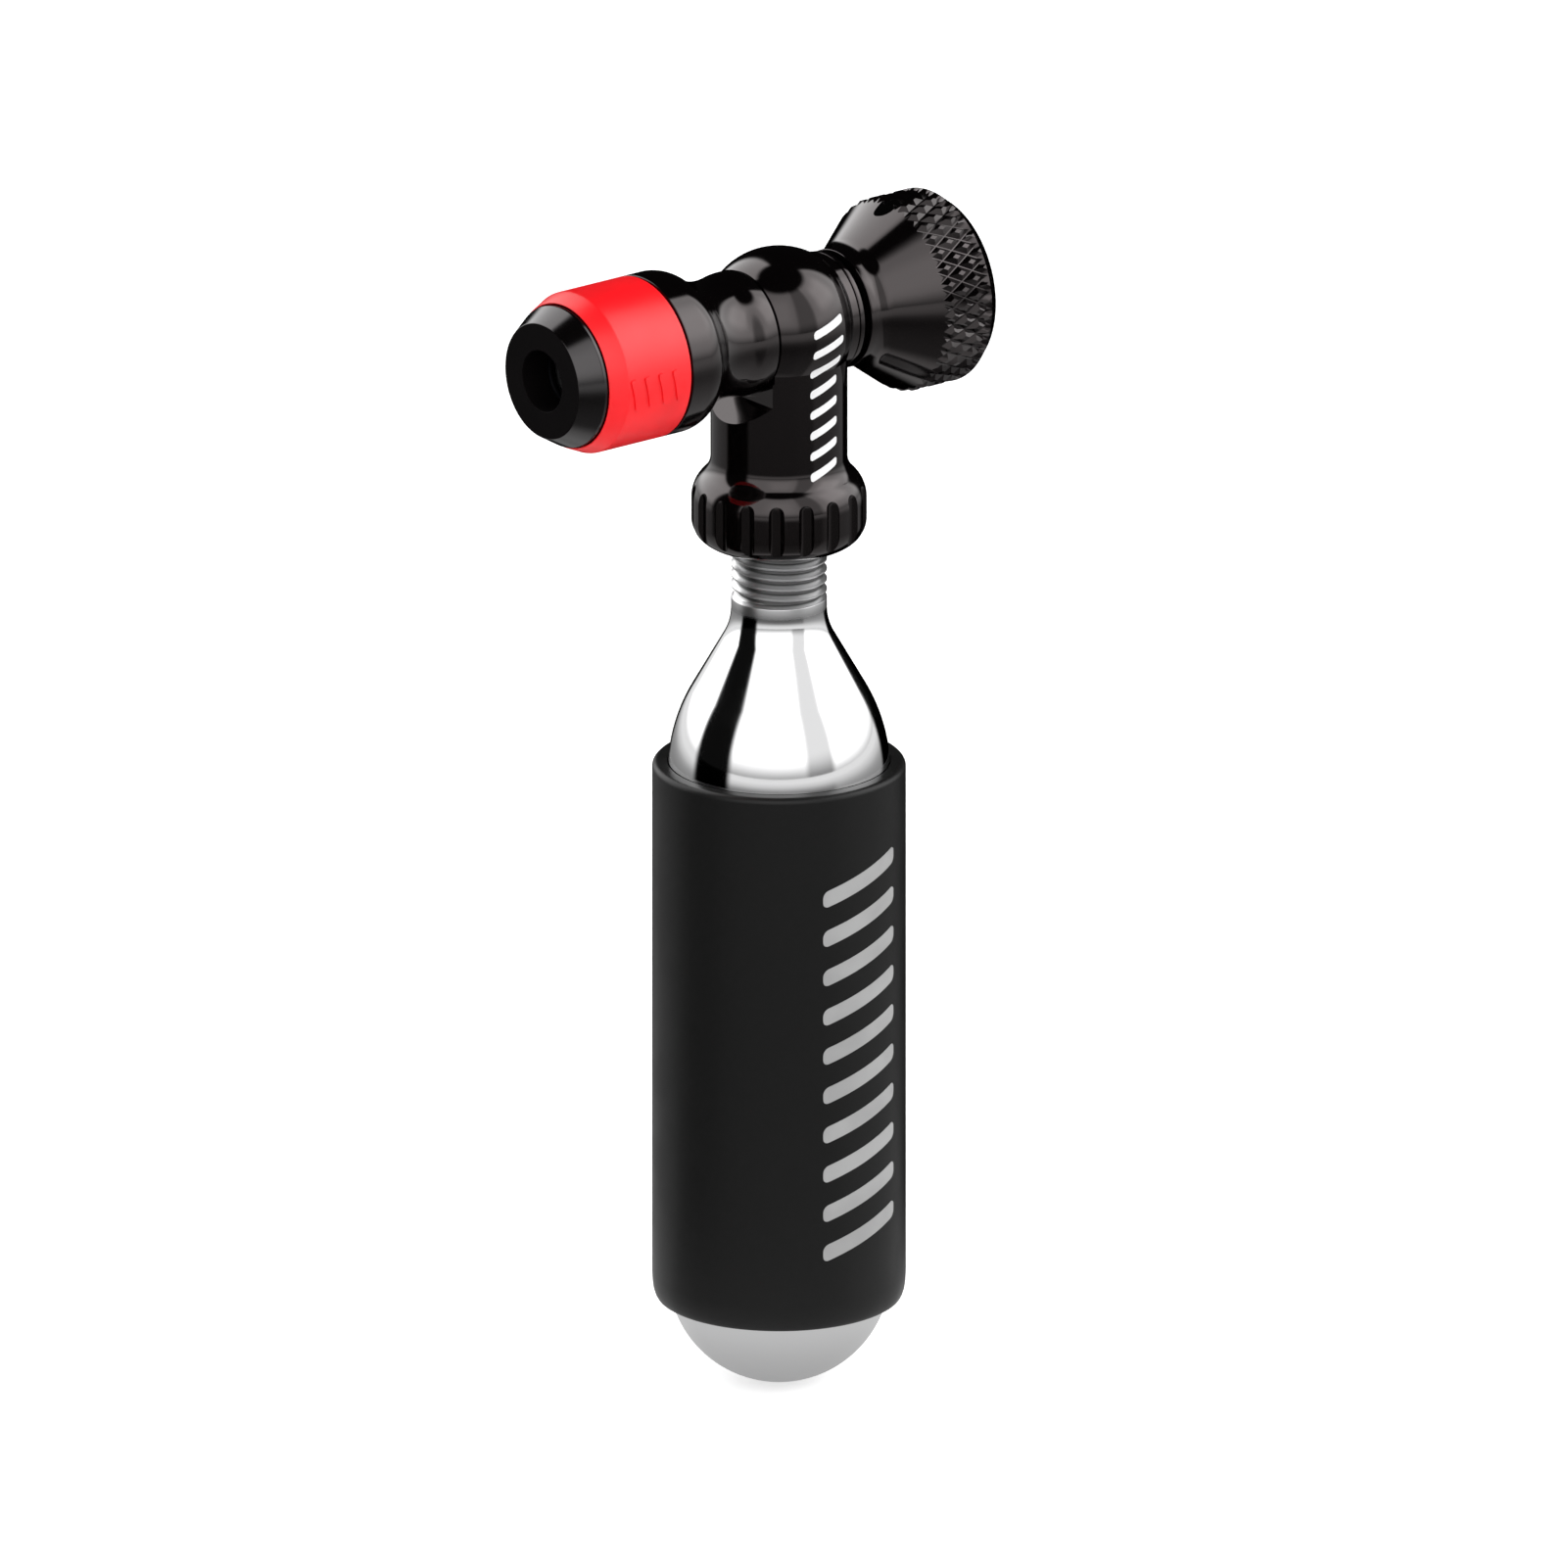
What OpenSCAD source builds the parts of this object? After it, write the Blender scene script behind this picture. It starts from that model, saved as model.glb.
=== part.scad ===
// Hand inflator for bicycle tyres. A push-on valve chuck and a control valve share one
// head, and a threaded gas cartridge in a foam sleeve hangs below it.
// The origin is the centre of the chuck's mouth. +X runs along the head to the knob and
// +Z is up. The cartridge is screwed home and the control valve is closed.

/* [Chuck nose] */
// Radius of the mouth that a valve stem enters
mouth_r = 3.13; // [3.05:0.01:3.2]
// Length of the mouth's plain bore
mouth_len = 3.2; // [3:0.1:3.6]
// Radius of the nose's front face
nose_face_r = 5.88; // [5.4:0.02:6.4]
// Height of the nose's rim above its rear spigot
nose_rim_h = 1.3; // [1:0.05:1.4]
// Length of the nose's cone
nose_cone_len = 2.25; // [1.5:0.05:2.6]
// Length of the nose in front of the red collar's lip
nose_len = 3.5; // [3.3:0.05:3.8]
// Radius of the wire of the grip ring
grip_wire_r = 0.5; // [0.4:0.01:0.52]
// Opening cut out of the grip ring, in degrees
grip_gap_angle = 40; // [20:5:80]

/* [Chuck seal and plunger] */
// Inner radius of the valve seal
seal_r = 2.9; // [2.6:0.05:3]
// Outer radius of the valve seal
seal_out_r = 4.85; // [4.6:0.05:5]
// Length of the valve seal
seal_len = 4.2; // [3.6:0.1:5]
// Thickness of the seal's washer
washer_t = 0.8; // [0.6:0.05:1.2]
// Radius of the hole in the washer
washer_hole_r = 1.6; // [1.5:0.05:2]
// Radius of the plunger's front pin
plunger_pin_r = 1.3; // [1:0.05:1.4]
// How far the front pin reaches into the seal
plunger_pin_reach = 2.7; // [2:0.1:3]
// Thickness of the plunger's disc
plunger_disc_t = 1.6; // [1.2:0.1:2]
// Radius of the plunger's rear stem
plunger_stem_r = 1.4; // [1.1:0.05:1.6]
// Length of the plunger's rear stem
plunger_stem_len = 3.9; // [3:0.1:5]
// Radius of the plunger's air way
plunger_bore_r = 0.6; // [0.4:0.05:0.8]
// Radius of the spring's wire
spring_wire_r = 0.25; // [0.15:0.01:0.28]
// Radius of the spring's coil, to the middle of the wire
spring_r = 2.5; // [2.2:0.05:2.8]
// Turns of the spring
spring_turns = 7; // [4:1:9]

/* [Chuck body] */
// Wall of the nose's rear spigot
spigot_wall = 1; // [0.8:0.05:1.2]
// Wall of the front tube inside the red collar
tube_wall = 0.95; // [0.9:0.05:1.2]
// Wall of the red collar
collar_wall = 1.25; // [1.1:0.05:1.6]
// Length of the chuck from the mouth to the flange
flange_x = 12.7; // [12.2:0.1:13.2]
// Width of the flange's straight edge
flange_w = 2.3; // [1.8:0.1:2.6]
// Thickness of the red collar's lip
lip_t = 0.9; // [0.7:0.05:1.2]
// Distance from the nose's cone back to the red collar's front edge
collar_setback = 0.45; // [0.2:0.05:0.6]
// Length of the red collar's front bevel
bevel_len = 1.8; // [1.4:0.1:2.4]
// Thickness of the red collar at its front edge
collar_edge_t = 0.12; // [0.08:0.01:0.3]
// Radius of the chamber that holds the plunger and its spring
chamber_r = 3.4; // [3.2:0.05:3.6]
// Length of that chamber
chamber_len = 10.1; // [9.8:0.1:11]
// Radius of the chuck's waist
waist_r = 6; // [5.6:0.05:6.1]
// Length of the sweep from the flange to the waist
sweep_len = 6.2; // [5.8:0.1:6.8]
// Radius of the sweep between the flange and the waist
waist_sweep_r = 6.5; // [5.5:0.1:7.5]
// Radius of the barrel at the head's seam
barrel_r = 6.3; // [6.1:0.05:6.5]
// Length of the waist's straight band
waist_band_len = 0.4; // [0.2:0.1:1]
// Length of the bulge from the waist to the barrel's straight end
bulge_len = 2.5; // [1.6:0.1:2.8]
// Length of the barrel's straight end
barrel_end_len = 1.2; // [1:0.1:2]
// Radius of the gas way through the barrel
gas_way_r = 1.2; // [0.8:0.05:1.5]

/* [Head] */
// How far the ball at the crossing swells past the column
ball_swell = 0.85; // [0.6:0.05:1.2]
// Radius of the column
column_r = 6.8; // [6.4:0.05:7.1]
// Distance from the column's axis forward to the chuck's seam
seam_back = 4.7; // [4.4:0.05:5]
// Gap between the barrel and the ledge below it
ledge_gap = 0.5; // [0.3:0.05:0.9]
// Slope of the ledge below each flat, in degrees
ledge_angle = 47; // [40:1:60]
// Radius of the boss behind the ball
boss_r = 6.1; // [5.8:0.05:6.3]
// Distance from the column's axis to the boss's end
boss_x = 5.4; // [5.2:0.05:5.8]
// Radius of the socket that takes the chuck's spigot
chuck_socket_r = 4.05; // [3.9:0.05:4.2]
// Wire radius of the O-ring at the chuck's seam
seam_ring_r = 0.38; // [0.3:0.01:0.42]

/* [Fluted port] */
// Radius of the fluted port
port_r = 8.7; // [8.4:0.05:9.2]
// Height of the port's straight wall
port_wall_h = 2.1; // [1.8:0.1:3]
// Depth of the port's lower face below the head's axis
port_bottom = 22.9; // [22.6:0.1:23.5]
// Radius of the port's rounded shoulder
shoulder_r = 3.5; // [3.2:0.1:3.8]
// Radius of the fillet between the column and the shoulder
shoulder_fillet_r = 2.5; // [2:0.1:2.8]
// Radius of the port's rounded lower edge
port_edge_r = 2.65; // [2.2:0.05:2.8]
// Number of flutes round the port
flute_count = 18; // [12:2:24]
// Radius of each flute's cutter
flute_r = 0.85; // [0.6:0.05:1]
// Distance from the port's wall out to the cutter's axis
flute_offset = 0.25; // [0.15:0.05:0.5]
// Depth of the flutes' round upper ends below the head's axis
flute_top = 16.35; // [16:0.05:16.8]
// Depth of the port's bore
port_depth = 7.7; // [7.4:0.1:8.2]

/* [Control valve] */
// Radius of the seat's orifice
orifice_r = 0.6; // [0.4:0.05:0.7]
// Distance from the column's axis forward to the seat's face
seat_offset = 0.6; // [0.5:0.05:0.7]
// Thickness of the valve seat
seat_t = 1.2; // [1:0.05:1.4]
// Depth of the seat's conical mouth
seat_mouth = 0.44; // [0.3:0.02:0.5]
// Radius of the needle's tip
needle_tip_r = 0.2; // [0.1:0.05:0.3]
// Radius of the spindle's front stem
stem_r = 1.1; // [1.05:0.05:1.3]
// Radius of the valve chamber
valve_chamber_r = 3; // [2.8:0.05:3.2]
// Length of the valve chamber
valve_chamber_len = 1.45; // [1.4:0.05:1.6]
// Length of the front land of the spindle's piston
piston_land = 0.55; // [0.5:0.05:0.7]
// Wire radius of the spindle's O-ring
spindle_ring_r = 0.37; // [0.3:0.01:0.4]
// Wire radius of the gland's O-ring
gland_ring_r = 0.48; // [0.4:0.01:0.5]
// Radius of the gland's threaded spigot
gland_spigot_r = 4.45; // [4.3:0.05:4.6]
// Radius of the gland's flange
gland_flange_r = 6; // [5.6:0.05:6.1]
// Thickness of the gland's flange
gland_flange_t = 0.75; // [0.6:0.05:0.9]
// Radius of the spindle's thread
spindle_thread_r = 2.5; // [2.4:0.05:2.6]
// Travel of the spindle from closed to open
stem_travel = 0.75; // [0.5:0.05:0.8]
// Radius of the gas way from the cartridge to the valve
inlet_r = 0.5; // [0.3:0.05:0.6]

/* [Knob] */
// Gap between the gland's flange and the knob
knob_gap = 0.9; // [0.8:0.05:1.2]
// Radius of the knob's neck
knob_neck_r = 6; // [5.6:0.05:6.2]
// Radius of the knob's grip
knob_r = 9.8; // [9.4:0.1:10.4]
// Slope of the knob's cone, in degrees
knob_cone_angle = 35.4; // [32:0.2:40]
// Radius of the blend between the neck and the cone
knob_blend_r = 3; // [2:0.1:3.4]
// Length of the knob's straight neck
knob_neck_len = 0.75; // [0.4:0.05:1.2]
// Length of the knob's grip
grip_len = 5.1; // [4.5:0.1:6]
// Length of the chamfer at the knob's end
knob_chamfer_len = 1.25; // [0.9:0.05:1.5]
// Depth of that chamfer
knob_chamfer_depth = 0.95; // [0.7:0.05:1.2]
// Width across the flats of the spindle's hexagon
hex_af = 4; // [3.8:0.1:4.2]
// Length of the hexagon inside the knob
hex_len = 7.15; // [6.5:0.05:7.5]
// Thickness of the knob's web behind the hexagon
knob_web = 1.8; // [1.4:0.1:2.2]
// Radius of the dish in the knob's end
dish_r = 6.5; // [6:0.1:7.5]
// Depth of that dish
dish_depth = 1.5; // [1:0.1:1.8]
// Radius of the knob screw's shank
screw_r = 1.5; // [1.4:0.05:1.55]
// Length of the knob screw's shank
screw_len = 6; // [5:0.1:7]
// Radius of the knob screw's head
screw_head_r = 2.75; // [2.5:0.05:2.9]
// Height of the knob screw's head
screw_head_h = 1.8; // [1.5:0.1:2]
// Width across the flats of the screw's drive
screw_drive_af = 2; // [1.5:0.1:2.2]

/* [Piercing unit] */
// Radius of the pin holder
holder_r = 3; // [2.8:0.05:3.2]
// Height of the pin holder
holder_h = 4.7; // [4.2:0.1:5]
// Outer radius of the piercing pin
pin_r = 0.9; // [0.8:0.02:0.95]
// Radius of the pin's air way
pin_bore_r = 0.35; // [0.25:0.05:0.45]
// How far the pin's tip reaches below the cartridge's cap
pin_reach = 1.7; // [1.2:0.1:2]
// Thickness of the cartridge seal
face_seal_t = 1.5; // [1.2:0.05:1.8]
// Radial gap between the pin and the cartridge seal
face_seal_in_gap = 0.3; // [0.2:0.05:0.6]
// Radial gap between the cartridge seal and the port's bore
face_seal_out_gap = 0.2; // [0.1:0.05:0.4]

/* [Cartridge] */
// Outer radius of the cartridge's thread, 3/8 inch across
thread_r = 4.7625; // [4.7:0.0125:4.8]
// Pitch of that thread, 24 to the inch
thread_pitch = 1.0583; // [1:0.0083:1.1]
// Depth of that thread
thread_depth = 0.6; // [0.4:0.05:0.7]
// Share of the pitch that each thread's crest leaves flat
thread_crest = 0.14; // [0.08:0.02:0.2]
// Number of threads
thread_count = 11; // [9:1:11]
// Length of the plain neck below the thread
neck_plain_len = 1.2; // [0.8:0.1:2.5]
// Radius of the bottle
bottle_r = 11.05; // [10.5:0.05:11.2]
// Slope of the bottle's shoulder from upright, in degrees
bottle_slope = 29.8; // [27:0.2:33]
// Radius of the hollow between the neck and the shoulder
neck_blend_r = 5.9; // [4.5:0.1:6.5]
// Radius of the round between the shoulder and the bottle's wall
bottle_blend_r = 17.8; // [14:0.2:18]
// Depth of the bottle's end below the head's axis
bottle_bottom = 110.05; // [100:0.05:116]
// Thickness of the bottle's wall
bottle_wall = 1.3; // [1:0.1:1.6]
// Radius of the bottle's neck bore
neck_bore_r = 1.9; // [1.7:0.1:2.1]
// Radius of the cap in the cartridge's mouth
cap_r = 2.6; // [2.3:0.05:2.8]
// Thickness of that cap
cap_t = 0.5; // [0.3:0.05:0.7]
// Radial gap between the pin and the hole that it has made in the cap
cap_hole_gap = 0.1; // [0.05:0.01:0.2]

/* [Foam sleeve] */
// Wall of the sleeve
sleeve_wall = 1.33; // [1:0.01:2]
// How far the sleeve's top stands above the bottle's straight wall
sleeve_rise = 1.2; // [0:0.1:3]
// Length of the bottle's end that the sleeve leaves bare
bare_end_len = 8.65; // [4:0.05:14]
// Radius of the sleeve's top edge
sleeve_top_edge_r = 0.6; // [0.3:0.05:0.65]
// Length of the taper at the sleeve's lower end
sleeve_taper_len = 2; // [1:0.1:4]
// Depth of that taper
sleeve_taper = 0.3; // [0.1:0.05:0.5]

/* [Clearances] */
// Radial clearance of screwed, sliding and pressed-in pieces
fit = 0.05; // [0.03:0.01:0.06]
// End gap between pieces that nearly meet
end_gap = 0.1; // [0.06:0.01:0.15]
// Gap round an O-ring's section
ring_gap = 0.03; // [0.02:0.005:0.05]
// Gap between the closed needle and its seat
needle_gap = 0.04; // [0.03:0.01:0.06]
// Radial gap between the bottle and the foam sleeve
sleeve_gap = 0.2; // [0.1:0.05:0.3]

/* [Hidden] */
// Facets of a full circle
$fn = 96;
// Steps along each rounded stretch of an outline
arc_steps = 10;
// Overrun of a cutter past the face that it opens
cut = 1;

// Chuck, along X from the mouth
grip_ring_x = mouth_len + end_gap + grip_wire_r;
grip_ring_r = mouth_r + grip_wire_r - ring_gap;
grip_groove_r = grip_ring_r + grip_wire_r + end_gap;
seal_x = grip_ring_x + grip_wire_r + end_gap;
pocket_r = seal_out_r + fit;
washer_x = seal_x + seal_len;
step_x = washer_x + washer_t;
spigot_r = pocket_r + spigot_wall;
nose_r = spigot_r + nose_rim_h;
tube_x = nose_len + lip_t;
tube_bore_r = spigot_r + fit;
tube_r = tube_bore_r + tube_wall;
flange_r = tube_r + fit + collar_wall;
plunger_x = step_x + fit;
plunger_disc_r = chamber_r - fit;
spring_x0 = plunger_x + plunger_disc_t;
chamber_end = step_x + chamber_len;
flange_end = flange_x + flange_w;
waist_x = flange_end + sweep_len;
bulge_x = waist_x + waist_band_len;
barrel_x = bulge_x + bulge_len;
seam_x = barrel_x + barrel_end_len;

// Head
column_x = seam_x + seam_back;
ball_r = column_r + ball_swell;
column_top = sqrt(pow(ball_r, 2) - pow(column_r, 2));
flat_depth = barrel_r + ledge_gap;

// Control valve, along X from the mouth
seat_end = column_x - seat_offset;
seat_x = seat_end - seat_t;
valve_chamber_end = seat_end + valve_chamber_len;
gland_x = valve_chamber_end + 2 * (gland_ring_r + fit / 2);
boss_end = column_x + boss_x;
gland_socket_r = gland_spigot_r + fit;
spindle_ring_w = 2 * (spindle_ring_r + ring_gap) + end_gap;
piston_r = valve_chamber_r - fit;
piston_groove_r = valve_chamber_r - 2 * (spindle_ring_r + ring_gap);
piston_x = gland_x - piston_land;
piston_end = gland_x + spindle_ring_w + piston_land - fit;
gland_step_x = piston_end + stem_travel + fit;
needle_x = seat_end - seat_mouth;
needle_seat_r = orifice_r - needle_gap;
knob_x = boss_end + gland_flange_t + knob_gap;
knob_blend_x = knob_x + knob_neck_len;
knob_blend_end_r = knob_neck_r + knob_blend_r * (1 - cos(knob_cone_angle));
knob_cone_x = knob_blend_x + knob_blend_r * sin(knob_cone_angle);
knob_grip_x = knob_cone_x + (knob_r - knob_blend_end_r) / tan(knob_cone_angle);
knob_end = knob_grip_x + grip_len + knob_chamfer_len;
hex_end = knob_x + hex_len;
web_x = hex_end + 2 * end_gap;
screw_seat_x = web_x + knob_web;

// Port and cartridge, downwards from the head's axis
port_wall_bottom = port_bottom - port_edge_r;
port_wall_top = port_wall_bottom - port_wall_h;
port_bore_r = thread_r + fit;
port_roof = port_bottom - port_depth;
holder_top = port_roof - holder_h;
face_seal_in_r = pin_r + face_seal_in_gap;
face_seal_out_r = port_bore_r - face_seal_out_gap;
mouth_z = port_roof + face_seal_t + fit;
cap_top = mouth_z + 0.4;
cap_bottom = cap_top + cap_t;
cap_hole_r = pin_r + cap_hole_gap;
pin_tip = cap_bottom + pin_reach;
neck_bottom = mouth_z + thread_count * thread_pitch + neck_plain_len;
sleeve_top = -bottle_wall_top(thread_r, 0) - sleeve_rise;
sleeve_bottom = bottle_bottom - bare_end_len;
sleeve_bore_r = bottle_r + sleeve_gap;
sleeve_r = sleeve_bore_r + sleeve_wall;

// Points on an arc about centre c, from angle a0 to a1.
function arc(c, r, a0, a1) =
  [for (i = [0:arc_steps]) let (a = a0 + (a1 - a0) * i / arc_steps) c + r * [cos(a), sin(a)]];

// Radius of the round that leads from a flange of radius hi into a sweep of radius
// sweep_r, which bottoms out at radius lo after the length run.
function flange_round_r(hi, lo, run, sweep_r) =
  (pow(run, 2) + pow(sweep_r - hi + lo, 2) - pow(sweep_r, 2)) / (2 * (hi - lo));

// Turns a profile of (radius, distance along X) about the head's axis.
module turned_along_head() {
  rotate([0, 90, 0])
    rotate_extrude()
      children();
}

// Turns a profile of (radius, height) about the column's axis.
module turned_on_column() {
  translate([column_x, 0, 0])
    rotate_extrude()
      children();
}

// Cylinder of radius r on the head's axis, between two distances from the mouth.
module head_rod(r, from, to) {
  translate([from, 0, 0])
    rotate([0, 90, 0])
      cylinder(h = to - from, r = r);
}

// Cylinder of radius r on the column's axis, between two depths below the head's axis.
module column_rod(r, from, to) {
  translate([column_x, 0, -to])
    cylinder(h = to - from, r = r);
}

// O-ring on the head's axis, centred at x, of ring radius r and wire radius wire_r.
module head_ring(x, r, wire_r) {
  turned_along_head()
    translate([r, x])
      circle(r = wire_r, $fn = 32);
}

// Prism on the head's axis with six sides, af across the flats.
module head_hexagon(af, from, to) {
  translate([from, 0, 0])
    rotate([0, 90, 0])
      cylinder(h = to - from, r = af / sqrt(3), $fn = 6);
}

// Crests and roots of the cartridge's thread, from its mouth down.
function thread_outline() =
  [for (i = [0:thread_count - 1], side = [1, -1])
    let (middle = -mouth_z - (i + 0.5) * thread_pitch, half = (1 - thread_crest) * thread_pitch / 2)
    each side > 0
      ? [[thread_r, middle + half], [thread_r - thread_depth, middle + half / 8]]
      : [[thread_r - thread_depth, middle - half / 8], [thread_r, middle - half]]];

// Height at which the bottle's shoulder meets its straight wall, for an outline that lies
// step_in inside the bottle's outer surface and has a neck of radius neck.
function bottle_wall_top(neck, step_in) =
  let (
    hollow_r = neck_blend_r + step_in,
    round_r = bottle_blend_r - step_in,
    slope_end_r = neck + hollow_r * (1 - cos(bottle_slope)),
    slope_start_r = bottle_r - step_in - round_r * (1 - cos(bottle_slope))
  )
  -neck_bottom - (hollow_r + round_r) * sin(bottle_slope)
    - (slope_start_r - slope_end_r) / tan(bottle_slope);

// Outline of the bottle from its mouth at depth top to its closed end. neck is the neck's
// radius, collar holds points between the mouth and the shoulder, and step_in is how far
// the outline lies inside the bottle's outer surface.
function bottle_outline(neck, top, collar, step_in) =
  let (
    wall_r = bottle_r - step_in,
    hollow_r = neck_blend_r + step_in,
    round_r = bottle_blend_r - step_in
  )
  concat(
    [[0, -top], [neck, -top]],
    collar,
    arc([neck + hollow_r, -neck_bottom], hollow_r, 180, 180 + bottle_slope),
    arc([wall_r - round_r, bottle_wall_top(neck, step_in)], round_r, bottle_slope, 0),
    arc([0, bottle_r - bottle_bottom], wall_r, 0, -90)
  );

// Ball, column, fluted port and boss, before anything is cut out of them.
module head_blank() {
  fillet_z = -port_wall_top + sqrt(pow(shoulder_r + shoulder_fillet_r, 2)
    - pow(column_r + shoulder_fillet_r - port_r + shoulder_r, 2));
  shoulder_angle = asin((fillet_z + port_wall_top) / (shoulder_r + shoulder_fillet_r));
  turned_on_column()
    polygon(concat(
      [[0, -column_top], [column_r, -column_top]],
      arc([column_r + shoulder_fillet_r, fillet_z], shoulder_fillet_r, 180, 180 + shoulder_angle),
      arc([port_r - shoulder_r, -port_wall_top], shoulder_r, shoulder_angle, 0),
      arc([port_r - port_edge_r, -port_wall_bottom], port_edge_r, 0, -90),
      [[0, -port_bottom]]
    ));
  turned_along_head()
    intersection() {
      translate([0, column_x])
        circle(r = ball_r);
      translate([0, column_x - ball_r])
        square([ball_r, 2 * ball_r]);
    }
  head_rod(boss_r, column_x, boss_end);
}

// Space in front of a flat at distance x from the column's axis. side is -1 for the
// chuck's flat and 1 for the gland's.
module flat_cutter(x, side) {
  reach = port_r;
  top = ball_r + cut;
  translate([column_x, 0, 0])
    rotate([90, 0, 0])
      linear_extrude(height = 2 * top, center = true)
        polygon([
          [side * x, top],
          [side * x, -flat_depth],
          [side * (x + reach), -flat_depth - reach * tan(ledge_angle)],
          [side * (x + reach), top]
        ]);
}

// Cutters of the flutes, each a rod with a round upper end that runs out below.
module flute_cutters() {
  round_depth = flute_top + flute_r;
  straight = port_bottom + cut - round_depth;
  for (i = [0:flute_count - 1])
    translate([column_x, 0, -round_depth])
      rotate([0, 0, (i + 0.5) * 360 / flute_count])
        translate([port_r + flute_offset, 0, 0]) {
          sphere(r = flute_r, $fn = 32);
          translate([0, 0, -straight])
            cylinder(h = straight, r = flute_r, $fn = 32);
        }
}

module head_body() {
  seam_ring_out_r = chuck_socket_r + 2 * (seam_ring_r + ring_gap);
  seam_ring_depth = 2 * (seam_ring_r + ring_gap);
  color("#161516")
  difference() {
    head_blank();
    flat_cutter(seam_back, -1);
    flat_cutter(boss_x, 1);
    flute_cutters();
    head_rod(chuck_socket_r, seam_x - cut, seat_end);
    head_rod(seam_ring_out_r, seam_x - cut, seam_x + seam_ring_depth);
    head_rod(valve_chamber_r, seat_end - fit, valve_chamber_end + fit);
    head_rod(gland_socket_r, valve_chamber_end, boss_end + cut);
    column_rod(inlet_r, 0, holder_top + cut);
    column_rod(holder_r + fit, holder_top, port_roof + cut);
    column_rod(port_bore_r, port_roof, port_bottom + cut);
  }
}

module chuck_body() {
  round_r = flange_round_r(flange_r, waist_r, sweep_len, waist_sweep_r);
  turn = asin(sweep_len / (round_r + waist_sweep_r));
  color("#161516")
  difference() {
    turned_along_head()
      polygon(concat(
        [[0, tube_x], [tube_r, tube_x], [tube_r, flange_x], [flange_r, flange_x]],
        arc([flange_r - round_r, flange_end], round_r, 0, turn),
        arc([waist_r + waist_sweep_r, waist_x], waist_sweep_r, 180 + turn, 180),
        [for (i = [0:arc_steps]) let (t = i / arc_steps)
          [waist_r + (barrel_r - waist_r) * pow(sin(90 * t), 2), bulge_x + bulge_len * t]],
        [[barrel_r, seam_x], [chuck_socket_r - fit, seam_x]],
        [[chuck_socket_r - fit, seat_x - fit], [0, seat_x - fit]]
      ));
    head_rod(tube_bore_r, tube_x - cut, step_x);
    head_rod(chamber_r, step_x - cut, chamber_end);
    head_rod(gas_way_r, chamber_end - cut, seat_x + cut);
  }
}

module chuck_collar() {
  front_x = nose_cone_len + collar_setback;
  front_bore_r = nose_r + end_gap;
  color("#e3141d")
  turned_along_head()
    polygon([
      [front_bore_r, front_x],
      [front_bore_r + collar_edge_t, front_x],
      [flange_r, front_x + bevel_len],
      [flange_r, flange_x],
      [tube_r + fit, flange_x],
      [tube_r + fit, tube_x],
      [spigot_r + fit, tube_x],
      [spigot_r + fit, nose_len],
      [front_bore_r, nose_len]
    ]);
}

module chuck_nose() {
  color("#1b191a")
  difference() {
    turned_along_head()
      polygon([
        [0, 0],
        [nose_face_r, 0],
        [nose_r, nose_cone_len],
        [nose_r, nose_len],
        [spigot_r, nose_len],
        [spigot_r, step_x - end_gap],
        [0, step_x - end_gap]
      ]);
    head_rod(mouth_r, -cut, mouth_len + cut);
    head_rod(grip_groove_r, mouth_len, seal_x + fit);
    head_rod(pocket_r, seal_x, step_x + cut);
  }
}

module grip_ring() {
  color("silver")
  rotate([0, 90, 0])
    rotate([0, 0, grip_gap_angle / 2])
      rotate_extrude(angle = 360 - grip_gap_angle)
        translate([grip_ring_r, grip_ring_x])
          circle(r = grip_wire_r, $fn = 32);
}

module valve_seal() {
  color("#2a2a2a")
  difference() {
    head_rod(seal_out_r, seal_x, washer_x);
    head_rod(seal_r, seal_x - cut, washer_x + cut);
  }
}

module seal_washer() {
  color("goldenrod")
  difference() {
    head_rod(seal_out_r, washer_x, step_x);
    head_rod(washer_hole_r, washer_x - cut, step_x + cut);
  }
}

module plunger() {
  pin_x = plunger_x - washer_t - plunger_pin_reach;
  stem_end = spring_x0 + plunger_stem_len;
  color("goldenrod")
  difference() {
    union() {
      head_rod(plunger_pin_r, pin_x, spring_x0);
      head_rod(plunger_disc_r, plunger_x, spring_x0);
      head_rod(plunger_stem_r, plunger_x, stem_end);
    }
    head_rod(plunger_bore_r, pin_x - cut, stem_end + cut);
  }
}

// Wire swept round a helix on the head's axis, as rings of points joined by faces.
module plunger_spring() {
  sides = 8;
  steps = floor(20 * spring_turns);
  first_x = spring_x0 + spring_wire_r + ring_gap;
  last_x = chamber_end - spring_wire_r - ring_gap;
  points = [
    for (i = [0:steps]) let (t = i / steps, turn = 360 * spring_turns * t)
      for (k = [0:sides - 1]) let (a = 360 * k / sides, r = spring_r + spring_wire_r * cos(a))
        [first_x + (last_x - first_x) * t + spring_wire_r * sin(a), r * cos(turn), r * sin(turn)]
  ];
  walls = [
    for (i = [0:steps - 1])
      for (k = [0:sides - 1]) let (n = (k + 1) % sides)
        [i * sides + k, (i + 1) * sides + k, (i + 1) * sides + n, i * sides + n]
  ];
  first_end = [[for (k = [0:sides - 1]) k]];
  last_end = [[for (k = [sides - 1:-1:0]) steps * sides + k]];
  color("silver")
  polyhedron(points = points, faces = concat(walls, first_end, last_end));
}

module chuck_o_ring() {
  color("#222222")
  head_ring(seam_x + seam_ring_r + ring_gap, chuck_socket_r + seam_ring_r + ring_gap, seam_ring_r);
}

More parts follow.
